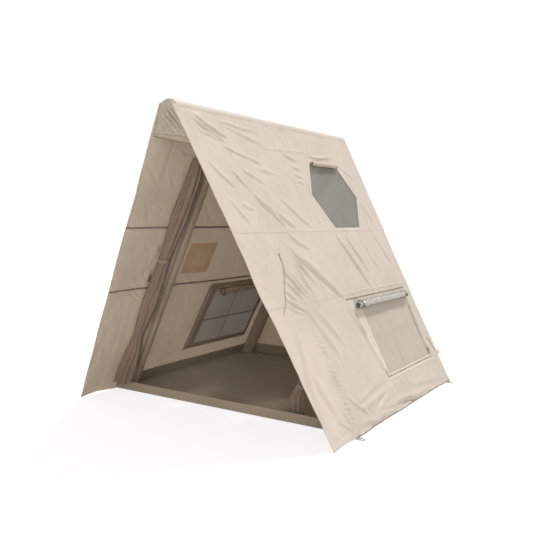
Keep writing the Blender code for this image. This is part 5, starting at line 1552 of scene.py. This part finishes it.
# spot(along, across, height) gives points; the tape is a ribbon and the teeth are small blocks on its middle.
def zipLine(name, length, spot, hides):
    rows = np.linspace(0, length, max(4, int(length / 0.014)))[:, None]
    across = np.array((-0.5, -0.46, -0.14, 0.14, 0.46, 0.5))[None] * zips["tape"]
    height = np.array((0.0004, 0.0011, 0.0012, 0.0012, 0.0011, 0.0004))[None]
    points = spot(rows + 0 * across, across + 0 * rows, height + 0 * rows)
    chart = stacked(rows, across)
    corners = points[:2, :2].reshape(-1, 3)
    middle, zero = np.array(0.5 * length), np.array(0.0)
    away = spot(middle, zero, np.array(0.02)) - spot(middle, zero, zero)
    faceTurn = np.cross(corners[1] - corners[0], corners[2] - corners[0])
    flip = bool((faceTurn * away).sum() < 0)
    tape = surface(name + "Tape", points, chart, flip=flip, wears=("zipTape",))
    place(tape, hides, thickness=0.0009)

    count = int(length / zips["tooth"])
    middle = (np.arange(count) + 0.5)[:, None] * zips["tooth"]
    offset = np.where(np.arange(count) % 2, zips["stagger"], -zips["stagger"])[:, None]
    ends = np.array((-1, 1, 1, -1, -1, 1, 1, -1)) * zips["tooth"] * zips["toothShare"]
    sides = np.array((-1, -1, 1, 1, -1, -1, 1, 1)) * zips["toothHalf"]
    lifts = np.array((0, 0, 0, 0, 1, 1, 1, 1)) * (zips["height"] - 0.0004) + 0.0011
    teeth = spot(middle + ends[None], offset + sides[None], lifts[None] + 0 * middle)
    block = np.array(((0, 3, 2, 1), (4, 5, 6, 7), (0, 1, 5, 4), (1, 2, 6, 5), (2, 3, 7, 6), (3, 0, 4, 7)))
    alongTooth, acrossTooth, upTooth = (teeth[0, corner] - teeth[0, 0] for corner in (1, 3, 4))
    if (np.cross(alongTooth, acrossTooth) * upTooth).sum() < 0:
        block = block[:, ::-1]
    faces = (np.arange(count)[:, None, None] * 8 + block[None]).reshape(-1, 4)
    made = makeMesh(name + "Teeth", teeth.reshape(-1, 3), faces, None, ("zipTeeth",))
    made.data.polygons.foreach_set("use_smooth", np.zeros(len(faces), bool))
    place(made)


def doorZip(side):
    turn = side * math.radians(legs["zipTurn"])
    inward, sideways, up = legAxes(side, "front")
    foot = legFoot(side, "front")
    out = inward * math.cos(turn) + sideways * math.sin(turn)
    across = np.cross(up, out)
    start, end = zips["door"]

    def spot(along, offset, height):
        along, offset, height = np.broadcast_arrays(along, offset, height)
        away = legs["radius"] + 0.0003 + height
        return foot + up * (start + along)[..., None] + out * away[..., None] + across * offset[..., None]

    zipLine(sideWord(side) + "DoorZip", end - start, spot, [sideWord(side) + "_door_zip"])


# Three legs of a side window's zip, outside the window on its border; the right one's front leg leans.
def windowZip(side):
    (front, low), (rear, high) = roof["window"][0], roof["window"][2]
    grow = zips["windowGap"]
    legsOfZip = (
        ("Rear", (rear + grow, low - grow), (0, 1), high - low + grow),
        ("Sill", (front - grow, low - grow), (1, 0), rear - front + 2 * grow),
        ("Front", (front - grow, low - grow), zips["lean"] if side > 0 else (0, 1), high - low + grow),
    )
    for number, (part, start, ahead, length) in enumerate(legsOfZip):

        def spot(along, offset, height):
            return wallSurface(side, *besideLine(start, ahead, along, offset), height + 0.0004)

        hides = [sideWord(side) + "_window_zip"] if number == 0 else ()
        zipLine(sideWord(side) + "Window" + part + "Zip", length, spot, hides)


def backZip():
    for side in (-1, 1):
        foot = np.array((side * back["sillHalf"], back["sill"]))
        apex = np.array((0.0, back["apex"]))
        length = float(np.hypot(*(apex - foot)))
        run = (apex - foot) / length

        def spot(along, offset, height):
            x, z = besideLine(foot, run, along, offset)
            return stacked(x, backEdge(z) - tent["backInset"] - 0.0056 - height, z)

        hides = ["back_window_zip"] if side > 0 else ()
        zipLine("back" + sideWord(side).capitalize() + "Zip", length, spot, hides)


for side in (-1, 1):
    doorZip(side)
    windowZip(side)
backZip()
print("tent: zips")


# Guy points on the front wings: a sewn patch, a short cord that hangs along the cloth, its loop and knot.
guys = {
    "y": -0.822, "up": 1.402, "patch": (0.026, 0.060), "diameter": 0.005, "points": 40, "strandPoints": 16,
    "lift": 0.0036, "sidestep": 0.0170,
    "route": ((0.000, 0.000), (0.004, 0.020), (0.022, 0.062), (0.050, 0.115), (0.084, 0.168), (0.118, 0.220),
              (0.146, 0.270), (0.170, 0.318), (0.200, 0.356), (0.230, 0.382), (0.253, 0.402)),
}


def guyPoint(side):
    word = sideWord(side)
    width, length = guys["patch"]
    y = np.linspace(guys["y"] - width / 2, guys["y"] + width / 2, 7)[None]
    up = np.linspace(guys["up"], guys["up"] + length, 13)[:, None]
    crown = 0.0010 * (1 - (2 * (y - guys["y"]) / width) ** 6)
    crown = crown * (1 - (2 * (up - guys["up"]) / length - 1) ** 8)
    patch = surface(
        word + "GuyPatch", wallSurface(side, y, up, 0.0006 + crown), stacked(up, y),
        flip=side < 0, wears=("web",),
    )
    place(patch, [word + "_guy_patch"], thickness=0.0012)

    route = smoothPath(guys["route"], guys["points"])
    y, up = guys["y"] - route[:, 0], guys["up"] - 0.0003 - route[:, 1]
    path = wallSurface(side, y, up, guys["lift"])
    radius = guys["diameter"] / 2
    cord = pathTube(word + "GuyCord", path, radius, 14, "cord")
    place(cord, [word + "_guy_cord"])
    length = float(np.linalg.norm(np.diff(path, axis=0), axis=1).sum())

    # A second strand doubles the cord down to the knot.
    strandCount = guys["strandPoints"]
    sidestep = guys["sidestep"] * np.sin(np.linspace(0, math.pi, strandCount)) ** 0.7
    strand = wallSurface(side, y[:strandCount] + sidestep, up[:strandCount] + 0.35 * sidestep, guys["lift"])
    strand = pathTube(word + "GuyStrand", strand, radius * 0.9, 12, "cord")
    place(strand)
    t = np.linspace(0, 2 * math.pi * 1.9, 60)
    knotY = y[strandCount] + 0.0058 * np.cos(t) + 0.0016 * np.sin(2.4 * t)
    knotUp = up[strandCount] - 0.0080 * (t / t[-1] - 0.5) + 0.0040 * np.sin(1.6 * t)
    knot = wallSurface(side, knotY, knotUp, 0.0050 + 0.0030 * np.sin(t))
    knot = pathTube(word + "GuyKnot", knot, radius, 12, "cord")
    place(knot)


# Toggle on a short strap inside each front wing: y, span up the wall, radius and depth behind the cloth.
wing = {
    "strap": {"y": -0.826, "span": (1.245, 1.150), "radius": 0.0052, "depth": -0.0062, "flat": 0.35},
    "toggle": {"y": -0.818, "span": (1.200, 1.128), "radius": 0.0085, "depth": -0.0150},
}


def wingToggle(side):
    values = wing["strap"]
    up = np.linspace(*values["span"], 12)
    line = wallSurface(side, values["y"] + 0.006 * np.linspace(0, 1, 12) ** 2, up, values["depth"])
    strap = pathTube(sideWord(side) + "WingStrap", line, values["radius"], 12, "web", values["flat"])
    place(strap)
    values = wing["toggle"]
    up = np.linspace(*values["span"], 16)
    fat = values["radius"] * np.clip(np.sin(np.linspace(0.25, math.pi - 0.25, 16)), 0, 1) ** 0.35
    line = wallSurface(side, values["y"] + 0 * up, up, values["depth"])
    toggle = pathTube(sideWord(side) + "WingToggle", line, fat, 16, "dark")
    place(toggle)


for side in (-1, 1):
    guyPoint(side)
    wingToggle(side)
print("tent: guy points")


# Webbing loops for pegs, each with a cord knotted through it at the hem.
pegs = {
    "length": 0.062, "width": 0.044, "web": 0.010, "thickness": 0.0025, "front": -0.726, "rear": 1.37,
    "profile": ((-0.5, 0.1), (-0.46, 0.9), (-0.2, 1.0), (0.2, 1.0), (0.46, 0.9), (0.5, 0.1), (0, 0.0)),
    "cordEnds": ((0.020, -0.016, -0.008), (0.016, 0.020, -0.007), (0.002, 0.006, 0.020)),
}


def pegLoop(side, y, where):
    half = (pegs["width"] - pegs["web"]) / 2
    turn = np.linspace(-math.pi / 2, math.pi / 2, 22)
    centre = pegs["length"] - pegs["width"] / 2
    along = np.concatenate((np.linspace(0.002, centre, 9)[:-1], centre + half * np.cos(turn),
                            np.linspace(centre, 0.002, 9)[1:]))
    across = np.concatenate((-half * np.ones(8), half * np.sin(turn), half * np.ones(8)))
    ahead = np.gradient(np.stack((along, across), -1), axis=0)
    ahead /= np.linalg.norm(ahead, axis=1)[:, None]
    profile = np.array(pegs["profile"])
    webWide, webHigh = profile[:, 0][None] * pegs["web"], profile[:, 1][None] * pegs["thickness"]
    x = along[:, None] + ahead[:, 1][:, None] * webWide
    b = across[:, None] - ahead[:, 0][:, None] * webWide
    lift = webHigh + 0.0006 * (softNoise(along * 60, across * 60, 241)[:, None] + 1) * (webHigh > 0.001)
    rings = np.stack((side * (tent["halfBase"] + 0.0004 + x), y + side * b, lift + 0 * x), -1)
    name = sideWord(side) + where.capitalize() + "PegLoop"
    loop = closedTube(name, rings, None, ("webSpace",))
    place(loop, [f"{where}_{sideWord(side)}_peg_loop"])

    t = np.linspace(0, 2 * math.pi * 2.2, 70)
    knot = np.stack((
        side * (tent["halfBase"] + 0.0115 + 0.0055 * np.cos(t)),
        y + 0.0085 * np.sin(1.5 * t),
        0.0125 + 0.0055 * np.sin(t + 0.6),
    ), -1)
    knot = pathTube(name + "Knot", knot, 0.0026, 10, "webSpace")
    place(knot)
    for number, (dx, dy, dz) in enumerate(pegs["cordEnds"]):
        start = np.array((side * (tent["halfBase"] + 0.0125), y, 0.0135))
        end = start + np.array((side * dx, dy, dz))
        bend = (start + end) / 2 + np.array((0, 0, 0.006))
        line = smoothPath((start, bend, end), 12)
        cordEnd = pathTube(f"{name}Tail{number}", line, 0.0022, 10, "webSpace")
        place(cordEnd)


for side in (-1, 1):
    pegLoop(side, pegs["front"], "front")
    pegLoop(side, pegs["rear"], "back")
print("tent: peg loops")


# Nodes whose own shape stays get their finish here.
nodeFinishes = {
    "bladder": (
        "ridge_air_beam", "front_left_air_beam", "front_right_air_beam", "back_left_air_beam",
        "back_right_air_beam",
    ),
    "zipMetal": (
        "left_door_slider", "right_door_slider", "left_door_pull", "right_door_pull", "left_window_slider",
        "right_window_slider", "left_back_window_slider", "right_back_window_slider",
    ),
    "valve": ("inflation_valve", "inflation_valve_cap"),
}
for finishName, names in nodeFinishes.items():
    for nodeName in names:
        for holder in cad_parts[nodeName].material_slots:
            holder.link = "OBJECT"
            holder.material = finishes[finishName]
print("tent: kept nodes finished")


print("tent: done")
